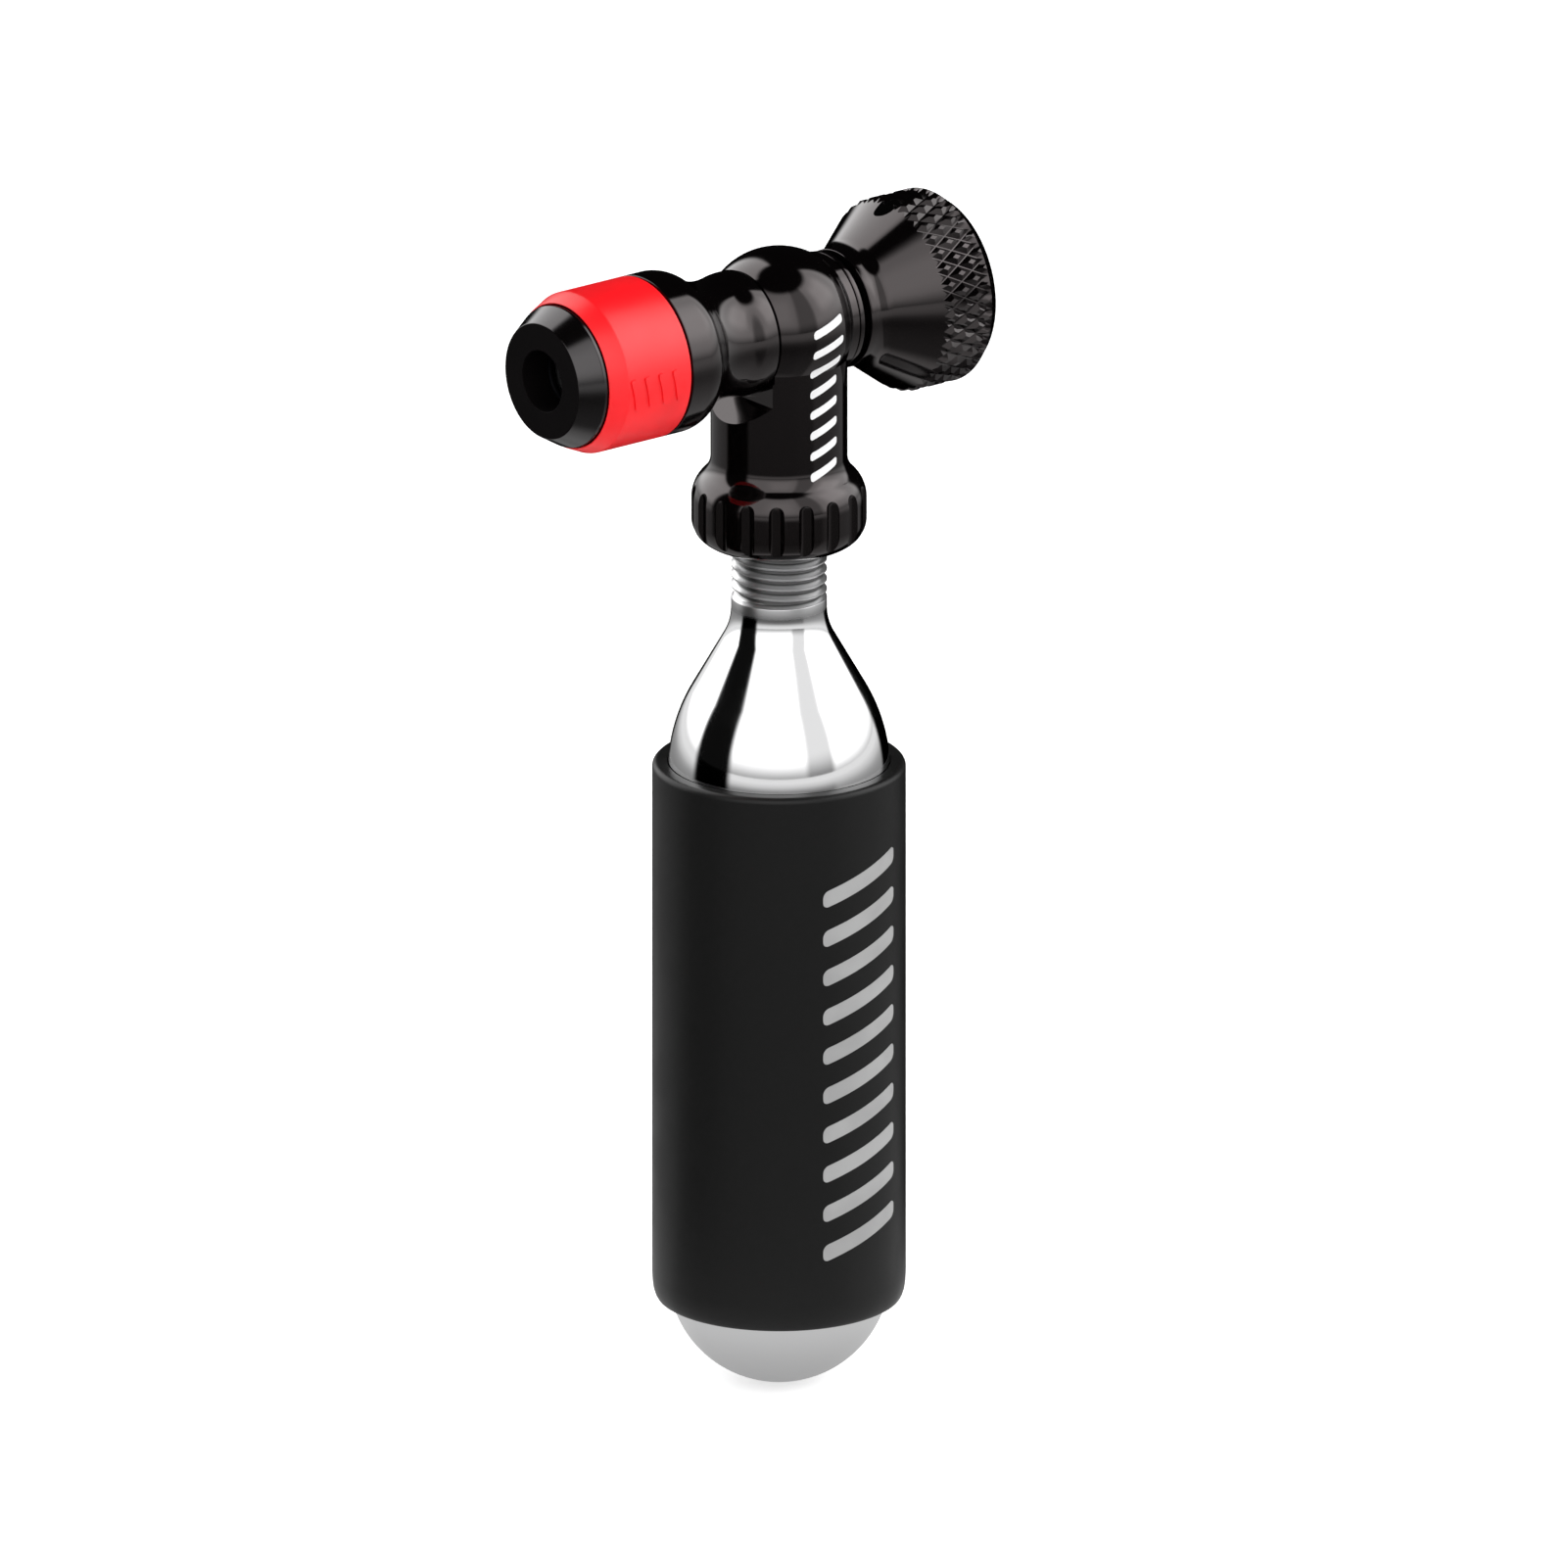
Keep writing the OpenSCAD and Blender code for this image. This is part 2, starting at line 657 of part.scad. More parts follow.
module valve_seat() {
  color("ivory")
  difference() {
    head_rod(chuck_socket_r - fit, seat_x, seat_end);
    head_rod(orifice_r, seat_x - cut, seat_end + cut);
    translate([needle_x, 0, 0])
      rotate([0, 90, 0])
        cylinder(h = seat_mouth, r1 = orifice_r, r2 = orifice_r + seat_mouth);
  }
}

module gland_nut() {
  bevel = gland_flange_t / 3;
  color("#161516")
  difference() {
    union() {
      head_rod(gland_spigot_r, gland_x, boss_end + fit);
      turned_along_head()
        polygon([
          [0, boss_end],
          [gland_flange_r - bevel, boss_end],
          [gland_flange_r, boss_end + bevel],
          [gland_flange_r, boss_end + gland_flange_t],
          [0, boss_end + gland_flange_t]
        ]);
    }
    head_rod(valve_chamber_r, gland_x - cut, gland_step_x);
    head_rod(spindle_thread_r + fit, gland_step_x - cut, boss_end + gland_flange_t + cut);
  }
}

module gland_o_ring() {
  color("#222222")
  head_ring((valve_chamber_end + gland_x) / 2, gland_socket_r - gland_ring_r - ring_gap, gland_ring_r);
}

module spindle() {
  needle_end = needle_x + stem_r - needle_seat_r;
  tapped_r = screw_r + fit;
  color("silver")
  difference() {
    union() {
      turned_along_head()
        polygon([
          [0, needle_x - needle_seat_r + needle_tip_r],
          [needle_tip_r, needle_x - needle_seat_r + needle_tip_r],
          [stem_r, needle_end],
          [stem_r, piston_x],
          [piston_r, piston_x],
          [piston_r, gland_x],
          [piston_groove_r, gland_x],
          [piston_groove_r, gland_x + spindle_ring_w],
          [piston_r, gland_x + spindle_ring_w],
          [piston_r, piston_end],
          [spindle_thread_r, piston_end],
          [spindle_thread_r, knob_x],
          [0, knob_x]
        ]);
      head_hexagon(hex_af, knob_x - fit, hex_end);
    }
    head_rod(tapped_r, screw_seat_x - screw_len - 2 * end_gap, hex_end + cut);
  }
}

module spindle_o_ring() {
  color("#222222")
  head_ring(gland_x + spindle_ring_w / 2, valve_chamber_r - spindle_ring_r - ring_gap, spindle_ring_r);
}

module knob() {
  color("#161516")
  difference() {
    turned_along_head()
      polygon(concat(
        [[0, knob_x], [knob_neck_r, knob_x]],
        arc([knob_neck_r + knob_blend_r, knob_blend_x], knob_blend_r, 180, 180 - knob_cone_angle),
        [[knob_r, knob_grip_x], [knob_r, knob_grip_x + grip_len]],
        [[knob_r - knob_chamfer_depth, knob_end], [0, knob_end]]
      ));
    head_hexagon(hex_af + 2 * fit, knob_x - cut, web_x);
    head_rod(screw_r + end_gap, web_x - cut, screw_seat_x + cut);
    head_rod(screw_head_r + 3 * end_gap, screw_seat_x, knob_end + cut);
    head_rod(dish_r, knob_end - dish_depth, knob_end + cut);
  }
}

module knob_screw() {
  head_top = screw_seat_x + screw_head_h;
  color("silver")
  difference() {
    union() {
      head_rod(screw_r, screw_seat_x - screw_len, head_top);
      head_rod(screw_head_r, screw_seat_x, head_top);
    }
    head_hexagon(screw_drive_af, head_top - screw_head_h / 2, head_top + cut);
  }
}

module pin_holder() {
  color("goldenrod")
  difference() {
    column_rod(holder_r, holder_top, port_roof);
    column_rod(pin_r + ring_gap, holder_top - cut, port_roof + cut);
  }
}

module piercing_pin() {
  slant = 30;
  color("silver")
  difference() {
    column_rod(pin_r, holder_top, pin_tip);
    column_rod(pin_bore_r, holder_top - cut, pin_tip + cut);
    translate([column_x + pin_r, 0, -pin_tip])
      rotate([0, slant, 0])
        translate([-2 * pin_r - cut, -pin_r - cut, -4 * pin_r])
          cube([2 * pin_r + cut, 2 * (pin_r + cut), 4 * pin_r]);
  }
}

module cartridge_seal() {
  color("#222222")
  difference() {
    column_rod(face_seal_out_r, port_roof, port_roof + face_seal_t);
    column_rod(face_seal_in_r, port_roof - cut, port_roof + face_seal_t + cut);
  }
}

module cartridge_shell() {
  color("gainsboro")
  difference() {
    turned_on_column()
      polygon(bottle_outline(thread_r, mouth_z, thread_outline(), 0));
    turned_on_column()
      polygon(bottle_outline(neck_bore_r, cap_bottom + end_gap, [], bottle_wall));
    column_rod(cap_r + fit, mouth_z - cut, cap_bottom + 2 * end_gap);
  }
}

module cartridge_cap() {
  color("lightgray")
  difference() {
    column_rod(cap_r, cap_top, cap_bottom);
    column_rod(cap_hole_r, cap_top - cut, cap_bottom + cut);
  }
}

module foam_sleeve() {
  wall_bottom = sleeve_bottom - sleeve_taper_len;
  color("#2b2b2b")
  turned_on_column()
    polygon(concat(
      [[sleeve_bore_r, -sleeve_bottom], [sleeve_bore_r, -sleeve_top]],
      arc([sleeve_r - sleeve_top_edge_r, -sleeve_top - sleeve_top_edge_r], sleeve_top_edge_r, 90, 0),
      [[sleeve_r, -wall_bottom], [sleeve_r - sleeve_taper, -sleeve_bottom + sleeve_taper]],
      [[sleeve_r - 2 * sleeve_taper, -sleeve_bottom]]
    ));
}

head_body();
chuck_body();
chuck_collar();
chuck_nose();
grip_ring();
valve_seal();
seal_washer();
plunger();
plunger_spring();
chuck_o_ring();
valve_seat();
gland_nut();
gland_o_ring();
spindle();
spindle_o_ring();
knob();
knob_screw();
pin_holder();
piercing_pin();
cartridge_seal();
cartridge_shell();
cartridge_cap();
foam_sleeve();
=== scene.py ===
"""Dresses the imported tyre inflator: turned black head and chuck, red collar, knurled knob,
chromed gas cartridge, foam sleeve, and the small pieces that work inside them."""

import logging
import math
from dataclasses import dataclass, field
from enum import Enum

import bmesh
import bpy
from bmesh.types import BMesh, BMVert
from mathutils import Matrix, Vector
from mathutils.bvhtree import BVHTree


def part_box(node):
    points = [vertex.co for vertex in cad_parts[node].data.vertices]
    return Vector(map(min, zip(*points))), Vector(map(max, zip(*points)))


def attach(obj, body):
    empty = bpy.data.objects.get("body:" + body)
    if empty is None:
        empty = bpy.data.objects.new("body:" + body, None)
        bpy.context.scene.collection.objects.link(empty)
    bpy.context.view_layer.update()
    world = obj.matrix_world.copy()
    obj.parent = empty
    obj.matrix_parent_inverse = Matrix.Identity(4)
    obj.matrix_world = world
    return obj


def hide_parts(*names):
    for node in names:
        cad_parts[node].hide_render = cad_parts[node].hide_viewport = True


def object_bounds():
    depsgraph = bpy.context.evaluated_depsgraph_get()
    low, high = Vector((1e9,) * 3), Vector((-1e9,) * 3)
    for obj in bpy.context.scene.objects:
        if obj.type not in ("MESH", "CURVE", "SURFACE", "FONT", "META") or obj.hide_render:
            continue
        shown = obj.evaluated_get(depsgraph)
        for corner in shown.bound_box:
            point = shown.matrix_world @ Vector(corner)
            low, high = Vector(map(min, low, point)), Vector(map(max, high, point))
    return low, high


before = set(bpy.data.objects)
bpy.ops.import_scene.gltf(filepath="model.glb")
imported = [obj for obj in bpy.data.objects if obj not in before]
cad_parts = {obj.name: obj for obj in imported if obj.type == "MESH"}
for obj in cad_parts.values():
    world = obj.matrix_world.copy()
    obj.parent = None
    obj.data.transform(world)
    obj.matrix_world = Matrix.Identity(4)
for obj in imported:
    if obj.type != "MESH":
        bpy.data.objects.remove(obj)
CAD_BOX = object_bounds()

LOG = logging.getLogger("inflator")
MM = 0.001
WELD = 0.002
Point = tuple[float, float]
# Stretches of even radius, each as (its end along the axis, its radius).
Stretches = tuple[Point, ...]
Colour = tuple[float, float, float]
Socket = bpy.types.NodeSocket
Value = Socket | float
Feeds = dict[str | int, Socket | float | tuple[float, ...] | Vector]


class Axis(Enum):
    """Line that a turned piece is spun about."""

    HEAD = "along X, through the chuck's mouth"
    COLUMN = "along Z, through the column and the cartridge"

    @property
    def centre(self) -> Vector:
        """A point on the line, in millimetres."""
        return Vector((0, 0, 0)) if self is Axis.HEAD else Vector((30.0, 0, 0))

    @property
    def direction(self) -> Vector:
        """Unit vector along the line."""
        return Vector((1, 0, 0)) if self is Axis.HEAD else Vector((0, 0, 1))

    def place(self, along: float, radius: float, angle: float = 0.0) -> Vector:
        """Gives the point at a distance along the line, a radius and an angle.

        Args:
            along: distance along the line, in millimetres.
            radius: distance from the line, in millimetres.
            angle: turn about the line in degrees. On the head's axis 0 points up and 90
                points to -Y. On the column's axis 0 points to +X and 90 to +Y.

        Returns:
            The point, in millimetres.
        """
        t = math.radians(angle)
        if self is Axis.HEAD:
            return Vector((along, -radius * math.sin(t), radius * math.cos(t)))
        return self.centre + Vector((radius * math.cos(t), radius * math.sin(t), along))


class Cut(Enum):
    """What a tool solid does to the solid that it meets."""

    REMOVE = "DIFFERENCE"
    JOIN = "UNION"


@dataclass
class Outline:
    """Half section of a turned piece, as (distance along the axis, radius) in millimetres."""

    points: list[Point] = field(default_factory=list)

    def to(self, *corners: Point) -> "Outline":
        """Adds straight runs to the given corners."""
        self.points.extend(corners)
        return self

    def stairs(self, start: float, *stretches: Point) -> "Outline":
        """Adds stretches of even radius, one after the other.

        Args:
            start: where the first stretch starts, along the axis.
            *stretches: the end and the radius of each stretch.

        Returns:
            The outline itself.
        """
        for end, radius in stretches:
            self.to((start, radius), (end, radius))
            start = end
        return self

    def rod(self, start: float, *stretches: Point) -> "Outline":
        """Adds a stepped rod, from the axis out and back to it."""
        return self.to((start, 0)).stairs(start, *stretches).to((stretches[-1][0], 0))

    def arc(self, centre: Point, radius: float, start: float, end: float,
            step: float = 4.0) -> "Outline":
        """Adds a round stretch.

        Args:
            centre: middle of the round, as (along, radius).
            radius: radius of the round itself.
            start: first angle in degrees. 0 points away from the axis and 90 along it.
            end: last angle in degrees.
            step: largest turn between two points, in degrees.

        Returns:
            The outline itself.
        """
        steps = max(2, math.ceil(abs(end - start) / step))
        for i in range(steps + 1):
            t = math.radians(start + (end - start) * i / steps)
            self.to((centre[0] + radius * math.sin(t), centre[1] + radius * math.cos(t)))
        return self

    def spin(self, axis: Axis, steps: int = 144, closed: bool = True) -> BMesh:
        """Turns the outline once round an axis.

        Args:
            axis: the line to turn about.
            steps: facets of the full turn.
            closed: whether the last point joins the first.

        Returns:
            A new mesh in millimetres.
        """
        bm = bmesh.new()
        verts = [bm.verts.new(axis.place(a, r)) for a, r in self.points]
        pairs = list(zip(verts, verts[1:]))
        if closed:
            pairs.append((verts[-1], verts[0]))
        edges = [bm.edges.new(pair) for pair in pairs]
        bmesh.ops.spin(bm, geom=verts + edges, cent=axis.centre, axis=axis.direction,
                       angle=math.tau, steps=steps, use_merge=True)
        return tidy(bm)


def everything(bm: BMesh) -> list[object]:
    """Gives all of a mesh's vertices, edges and faces."""
    return bm.verts[:] + bm.edges[:] + bm.faces[:]


def tidy(bm: BMesh) -> BMesh:
    """Welds what coincides and points every face outwards.

    Args:
        bm: mesh in millimetres.

    Returns:
        The same mesh.
    """
    bmesh.ops.remove_doubles(bm, verts=bm.verts[:], dist=WELD)
    bmesh.ops.dissolve_degenerate(bm, dist=WELD / 2, edges=bm.edges[:])
    bmesh.ops.recalc_face_normals(bm, faces=bm.faces[:])
    return bm


def soften(bm: BMesh, width: float, above: float = 25.0) -> BMesh:
    """Breaks the sharp edges of a turned piece with a small round.

    Args:
        bm: mesh in millimetres.
        width: width of the round on each side of the edge.
        above: least angle between two faces that counts as an edge, in degrees.

    Returns:
        The same mesh.
    """
    limit = math.radians(above)
    edges = [e for e in bm.edges if len(e.link_faces) == 2 and e.calc_face_angle(0) > limit]
    bmesh.ops.bevel(bm, geom=edges, offset=width, offset_type="OFFSET", segments=3,
                    profile=0.5, affect="EDGES", clamp_overlap=False, material=-1)
    return bm


def gather(bm: BMesh, *parts: BMesh) -> BMesh:
    """Adds other meshes to a mesh and welds them to it where they meet.

    Args:
        bm: mesh in millimetres.
        *parts: the other meshes, in the same units. They are used up.

    Returns:
        The first mesh.
    """
    for part in parts:
        passing = bpy.data.meshes.new("passing")
        part.to_mesh(passing)
        part.free()
        bm.from_mesh(passing)
        bpy.data.meshes.remove(passing)
    return tidy(bm)


def new_object(bm: BMesh, name: str, unit: float = MM) -> bpy.types.Object:
    """Makes an object of a mesh, at the origin.

    Args:
        bm: mesh to use. It is used up.
        name: name of the object and its mesh.
        unit: length that a unit of the mesh has in the scene.

    Returns:
        The object, linked to the scene.
    """
    bmesh.ops.scale(bm, vec=(unit, unit, unit), verts=bm.verts[:])
    mesh = bpy.data.meshes.new(name)
    bm.to_mesh(mesh)
    bm.free()
    obj = bpy.data.objects.new(name, mesh)
    bpy.context.scene.collection.objects.link(obj)
    return obj


def carved(blank: BMesh, steps: list[tuple[Cut, BMesh]]) -> BMesh:
    """Works a blank with tool solids, one after the other.

    Args:
        blank: the solid to work. It is used up.
        steps: what to do and with which solid, in order. The solids are used up.

    Returns:
        The worked solid, in millimetres.
    """
    work = new_object(blank, "work", 1.0)
    passing = [work]
    for cut, solid in steps:
        modifier = work.modifiers.new(cut.name, "BOOLEAN")
        modifier.operation = cut.value
        modifier.solver = "EXACT"
        modifier.object = new_object(solid, "tool", 1.0)
        passing.append(modifier.object)
    result = bmesh.new()
    result.from_object(work, bpy.context.evaluated_depsgraph_get())
    for obj in passing:
        mesh = obj.data
        bpy.data.objects.remove(obj)
        bpy.data.meshes.remove(mesh)
    return tidy(result)


class Bench:
    """Node tree of one material or node group, with short ways to add and join nodes."""

    def __init__(self, tree: bpy.types.NodeTree) -> None:
        """Takes the tree to work on."""
        self.tree = tree

    def feed(self, node: bpy.types.Node, feeds: Feeds) -> None:
        """Joins a node's inputs to other nodes, or sets them.

        Args:
            node: the node.
            feeds: for each input's name or number, the socket to join or the value to set.
        """
        for name, value in feeds.items():
            if isinstance(value, Socket):
                self.tree.links.new(value, node.inputs[name])
            else:
                node.inputs[name].default_value = value

    def add(self, kind: str, feeds: Feeds | None = None, **settings: object) -> bpy.types.Node:
        """Adds a node.

        Args:
            kind: the node's type, without "ShaderNode".
            feeds: what its inputs get.
            **settings: properties of the node.

        Returns:
            The new node.
        """
        node = self.tree.nodes.new(kind if kind.startswith("Node") else "ShaderNode" + kind)
        for name, value in settings.items():
            setattr(node, name, value)
        self.feed(node, feeds or {})
        return node

    def math(self, operation: str, a: Value, b: Value = 0.0) -> Socket:
        """Adds a sum of two values, by the Math node's operation."""
        return self.add("Math", {0: a, 1: b}, operation=operation).outputs[0]

    def mix(self, factor: Socket, a: Value, b: Value) -> Socket:
        """Adds a blend of two values, where the factor is the second one's share."""
        blend = self.add("Mix", {"Factor": factor, "A": a, "B": b}, data_type="FLOAT")
        return blend.outputs["Result"]

    def tint(self, factor: Socket, a: Colour, b: Colour) -> Socket:
        """Adds a blend of two colours, where the factor is the second one's share."""
        feeds = {"Factor": factor, "A": (*a, 1), "B": (*b, 1)}
        return self.add("Mix", feeds, data_type="RGBA").outputs["Result"]

    def remap(self, value: Socket, old: tuple[Value, Value], new: Point = (0.0, 1.0)) -> Socket:
        """Adds a smooth step from one range to another.

        Args:
            value: the value to move.
            old: range that it comes from.
            new: range that it goes to.

        Returns:
            The socket of the result, held within the new range.
        """
        feeds = {"Value": value, "From Min": old[0], "From Max": old[1],
                 "To Min": new[0], "To Max": new[1]}
        return self.add("MapRange", feeds, interpolation_type="SMOOTHSTEP").outputs["Result"]


class SharedGroup:
    """Node group that is built once, when it is first asked for.

    Attributes:
        name: the group's name.
        takes: names of the numbers that it takes.
        gives: names of the numbers that it gives.
    """

    name: str
    takes: tuple[str, ...]
    gives: tuple[str, ...]

    def tree(self) -> bpy.types.NodeTree:
        """Gives the group's node tree.

        Returns:
            The tree.
        """
        if self.name in bpy.data.node_groups:
            return bpy.data.node_groups[self.name]
        tree = bpy.data.node_groups.new(self.name, "ShaderNodeTree")
        for side, names in (("INPUT", self.takes), ("OUTPUT", self.gives)):
            for name in names:
                tree.interface.new_socket(name, in_out=side, socket_type="NodeSocketFloat")
        bench = Bench(tree)
        sockets = bench.add("NodeGroupInput").outputs
        inputs = {name: sockets[name] for name in self.takes}
        bench.add("NodeGroupOutput", self.results(bench, inputs))
        return tree

    def results(self, bench: Bench, inputs: dict[str, Socket]) -> Feeds:
        """Adds the group's own nodes.

        Args:
            bench: the group's node tree.
            inputs: the numbers that it takes.

        Returns:
            The sockets of the numbers that it gives.
        """
        raise NotImplementedError


class GrainGroup(SharedGroup):
    """Relief of fine grain, and mask of the patches that handling leaves, both from 0 to 1."""

    name = "surface_grain"
    takes = ("Scale", "Patch Scale")
    gives = ("Height", "Patches")

    def results(self, bench: Bench, inputs: dict[str, Socket]) -> Feeds:
        """Adds a noise for the grain and one for the patches, scaled by their number in a metre.

        Args:
            bench: the group's node tree.
            inputs: the numbers that it takes.

        Returns:
            The sockets of the numbers that it gives.
        """
        place = bench.add("TexCoord").outputs["Object"]
        grain, patches = (
            bench.add("TexNoise", {"Vector": place, "Scale": inputs[size], "Detail": detail})
            for size, detail in (("Scale", 3.0), ("Patch Scale", 2.0)))
        return {"Height": grain.outputs["Fac"],
                "Patches": bench.remap(patches.outputs["Fac"], (0.35, 0.7))}


class TurningGroup(SharedGroup):
    """Relief of the fine rings that a lathe leaves along the head's axis, from 0 to 1."""

    name = "turning_rings"
    takes = ("Pitch Scale",)
    gives = ("Height",)

    def results(self, bench: Bench, inputs: dict[str, Socket]) -> Feeds:
        """Adds a noise along the axis, scaled by the number of rings in a metre.

        Args:
            bench: the group's node tree.
            inputs: the numbers that it takes.

        Returns:
            The sockets of the numbers that it gives.
        """
        place = bench.add("SeparateXYZ", {0: bench.add("TexCoord").outputs["Object"]})
        spot = bench.math("MULTIPLY", place.outputs["X"], inputs["Pitch Scale"])
        feeds = {"W": spot, "Scale": 1.0, "Detail": 2.0}
        return {"Height": bench.add("TexNoise", feeds, noise_dimensions="1D").outputs["Fac"]}


class WindowGroup(SharedGroup):
    """Mask of one soft-edged window of directions, with its edges in degrees."""

    name = "soft_window"
    takes = ("Azimuth", "Elevation", "Left", "Right", "Low", "High", "Soft", "Fade")
    gives = ("Mask",)

    def results(self, bench: Bench, inputs: dict[str, Socket]) -> Feeds:
        """Multiplies the masks of the four edges.

        Args:
            bench: the group's node tree.
            inputs: the numbers that it takes.

        Returns:
            The sockets of the numbers that it gives.
        """
        masks = []
        for value, edge, sign, blur in (
                ("Azimuth", "Left", 1, "Soft"), ("Azimuth", "Right", -1, "Soft"),
                ("Elevation", "Low", 1, "Fade"), ("Elevation", "High", -1, "Soft")):
            away = bench.math("MULTIPLY", bench.math("SUBTRACT", inputs[value], inputs[edge]), sign)
            low, high = (bench.math("MULTIPLY", inputs[blur], half) for half in (-0.5, 0.5))
            masks.append(bench.remap(away, (low, high)))
        mask = masks[0]
        for other in masks[1:]:
            mask = bench.math("MULTIPLY", mask, other)
        return {"Mask": mask}


@dataclass(frozen=True)
class Finish:
    """Surface of one kind of piece.

    Attributes:
        name: the material's name.
        slot: the record's material slot that it belongs to; not used by this script.
        colour: base colour, linear.
        metallic: 1 for bare metal, 0 for a dyed or painted surface.
        roughness: roughness where the surface is cleanest.
        uneven: how much roughness the uneven patches add.
        ior: index of refraction of the surface.
        tint: tint of what the surface reflects, where 1 is white.
        coat: weight of a clear layer.
        coat_rough: roughness of that layer.
        grain: grains in a millimetre.
        patches: uneven patches in a millimetre.
        patch_shade: colour of the uneven patches, as a share of the base colour.
        relief: height of the grain, in millimetres.
        rings: turning rings in a millimetre, or 0 for none.
    """

    name: str
    slot: str
    colour: Colour
    metallic: float = 0.0
    roughness: float = 0.3
    uneven: float = 0.06
    ior: float = 1.5
    tint: Colour = (1.0, 1.0, 1.0)
    coat: float = 0.0
    coat_rough: float = 0.22
    grain: float = 12.0
    patches: float = 0.16
    patch_shade: float = 0.86
    relief: float = 0.0006
    rings: float = 0.0

    def material(self) -> bpy.types.Material:
        """Gives the finish's material, which is built once.

        Returns:
            The material.
        """
        found = bpy.data.materials.get(self.name)
        if found:
            return found
        material = bpy.data.materials.new(self.name)
        material.use_nodes = True
        bench = Bench(material.node_tree)
        shader = material.node_tree.nodes["Principled BSDF"]
        scales = {"Scale": self.grain / MM, "Patch Scale": self.patches / MM}
        grain = bench.add("Group", scales, node_tree=GrainGroup().tree())
        self.paint(bench, shader, grain.outputs["Patches"])
        height = grain.outputs["Height"]
        if self.rings:
            scales = {"Pitch Scale": self.rings / MM}
            rings = bench.add("Group", scales, node_tree=TurningGroup().tree())
            height = bench.math("ADD", height, rings.outputs["Height"])
        bump = bench.add("Bump", {"Distance": self.relief * MM, "Height": height})
        bench.feed(shader, {
            "Metallic": self.metallic, "IOR": self.ior, "Specular Tint": (*self.tint, 1),
            "Coat Weight": self.coat, "Coat Roughness": self.coat_rough,
            "Normal": bump.outputs["Normal"]})
        return material

    def rough(self, bench: Bench, patches: Socket) -> Socket:
        """Adds the roughness that varies with the uneven patches."""
        return bench.remap(patches, (0.0, 1.0), (self.roughness, self.roughness + self.uneven))

    def paint(self, bench: Bench, shader: bpy.types.Node, patches: Socket) -> None:
        """Sets the colour and the roughness over the surface.

        Args:
            bench: the material's node tree.
            shader: its Principled BSDF.
            patches: mask of the uneven places.
        """
        worn = tuple(part * self.patch_shade for part in self.colour)
        bench.feed(shader, {"Base Color": bench.tint(patches, self.colour, worn),
                            "Roughness": self.rough(bench, patches)})


@dataclass(frozen=True)
class ChromeFinish(Finish):
    """Bright chrome with a satin neck above and a satin end below, and painted shade at the bottom
    of the thread's grooves.

    Attributes:
        neck_rough: roughness of the satin neck.
        end_rough: roughness of the satin end.
        thread: height below which the neck is plain, in millimetres.
        neck: height below which the neck turns bright, in millimetres.
        end: height below which the bottle's end turns satin, in millimetres.
        thread_blur: how far the thread's end fades each way, in millimetres.
        neck_blur: how far the neck's end fades each way.
        end_blur: how far the bottle's end fades in.
        plain_shade: how bright the plain neck is, as a share of the chrome.
        painted_root_shade: how bright the painted shade at the bottom of the thread is.
        end_shade: how bright the bottle's end is.
        painted_shade_span: radii between which that painted shade fades out, in millimetres.
    """

    neck_rough: float = 0.34
    end_rough: float = 0.36
    thread: float = -28.5
    neck: float = -29.6
    end: float = -99.5
    thread_blur: float = 0.1
    neck_blur: float = 0.3
    end_blur: float = 1.0
    plain_shade: float = 0.55
    painted_root_shade: float = 0.32
    end_shade: float = 0.78
    painted_shade_span: Point = (4.2, 4.45)

    def paint(self, bench: Bench, shader: bpy.types.Node, patches: Socket) -> None:
        """Makes the middle bright, both ends satin, and paints shade at the bottom of the thread.

        Args:
            bench: the material's node tree.
            shader: its Principled BSDF.
            patches: mask of the uneven places.
        """
        place = bench.add("SeparateXYZ", {0: bench.add("TexCoord").outputs["Object"]}).outputs
        flat = bench.add("CombineXYZ", {"X": place["X"], "Y": place["Y"]})
        ends = {0: flat.outputs[0], 1: Axis.COLUMN.centre * MM}
        radius = bench.add("VectorMath", ends, operation="DISTANCE").outputs["Value"]
        above, cut = (
            bench.remap(place["Z"], ((level - blur) * MM, (level + blur) * MM))
            for level, blur in ((self.neck, self.neck_blur), (self.thread, self.thread_blur)))
        span = ((self.end - self.end_blur) * MM, self.end * MM)
        below = bench.remap(place["Z"], span, (1.0, 0.0))
        # Painted shade: the thread's grooves are darkened by radius, standing in for the shade that
        # falls in them.
        span = (self.painted_shade_span[0] * MM, self.painted_shade_span[1] * MM)
        painted_groove_shade = bench.remap(radius, span, (self.painted_root_shade, 1.0))
        upper = bench.mix(above, 1.0, bench.mix(cut, self.plain_shade, painted_groove_shade))
        shade = bench.mix(below, upper, self.end_shade)
        rough = bench.mix(above, self.rough(bench, patches), self.neck_rough)
        bench.feed(shader, {"Base Color": bench.tint(shade, (0, 0, 0), self.colour),
                            "Roughness": bench.mix(below, rough, self.end_rough)})


GLOSS_BLACK = Finish("gloss_black_anodised", "black_anodised", (0.0013, 0.0009, 0.0010),
                     roughness=0.075, uneven=0.02, ior=1.6, tint=(1.0, 0.90, 0.90), relief=0.0002)
MATTE_BLACK = Finish("matte_black_anodised", "black_nose", (0.0028, 0.0021, 0.0023),
                     roughness=0.5, ior=1.12, grain=16.0, relief=0.004)
NOSE_BLACK = Finish("gloss_black_nose", "black_nose", (0.0016, 0.0012, 0.0013),
                    roughness=0.12, uneven=0.03, ior=1.6, tint=(1.0, 0.95, 0.96), relief=0.0002)
RED = Finish("satin_red_anodised", "red_anodised", (0.97, 0.005, 0.011),
             roughness=0.38, uneven=0.04, coat=0.1, grain=20.0, relief=0.0008)
CHROME = ChromeFinish("bright_chrome", "chromed_steel", (0.86, 0.86, 0.865),
                      metallic=1.0, roughness=0.06, uneven=0.03, relief=0.0002)
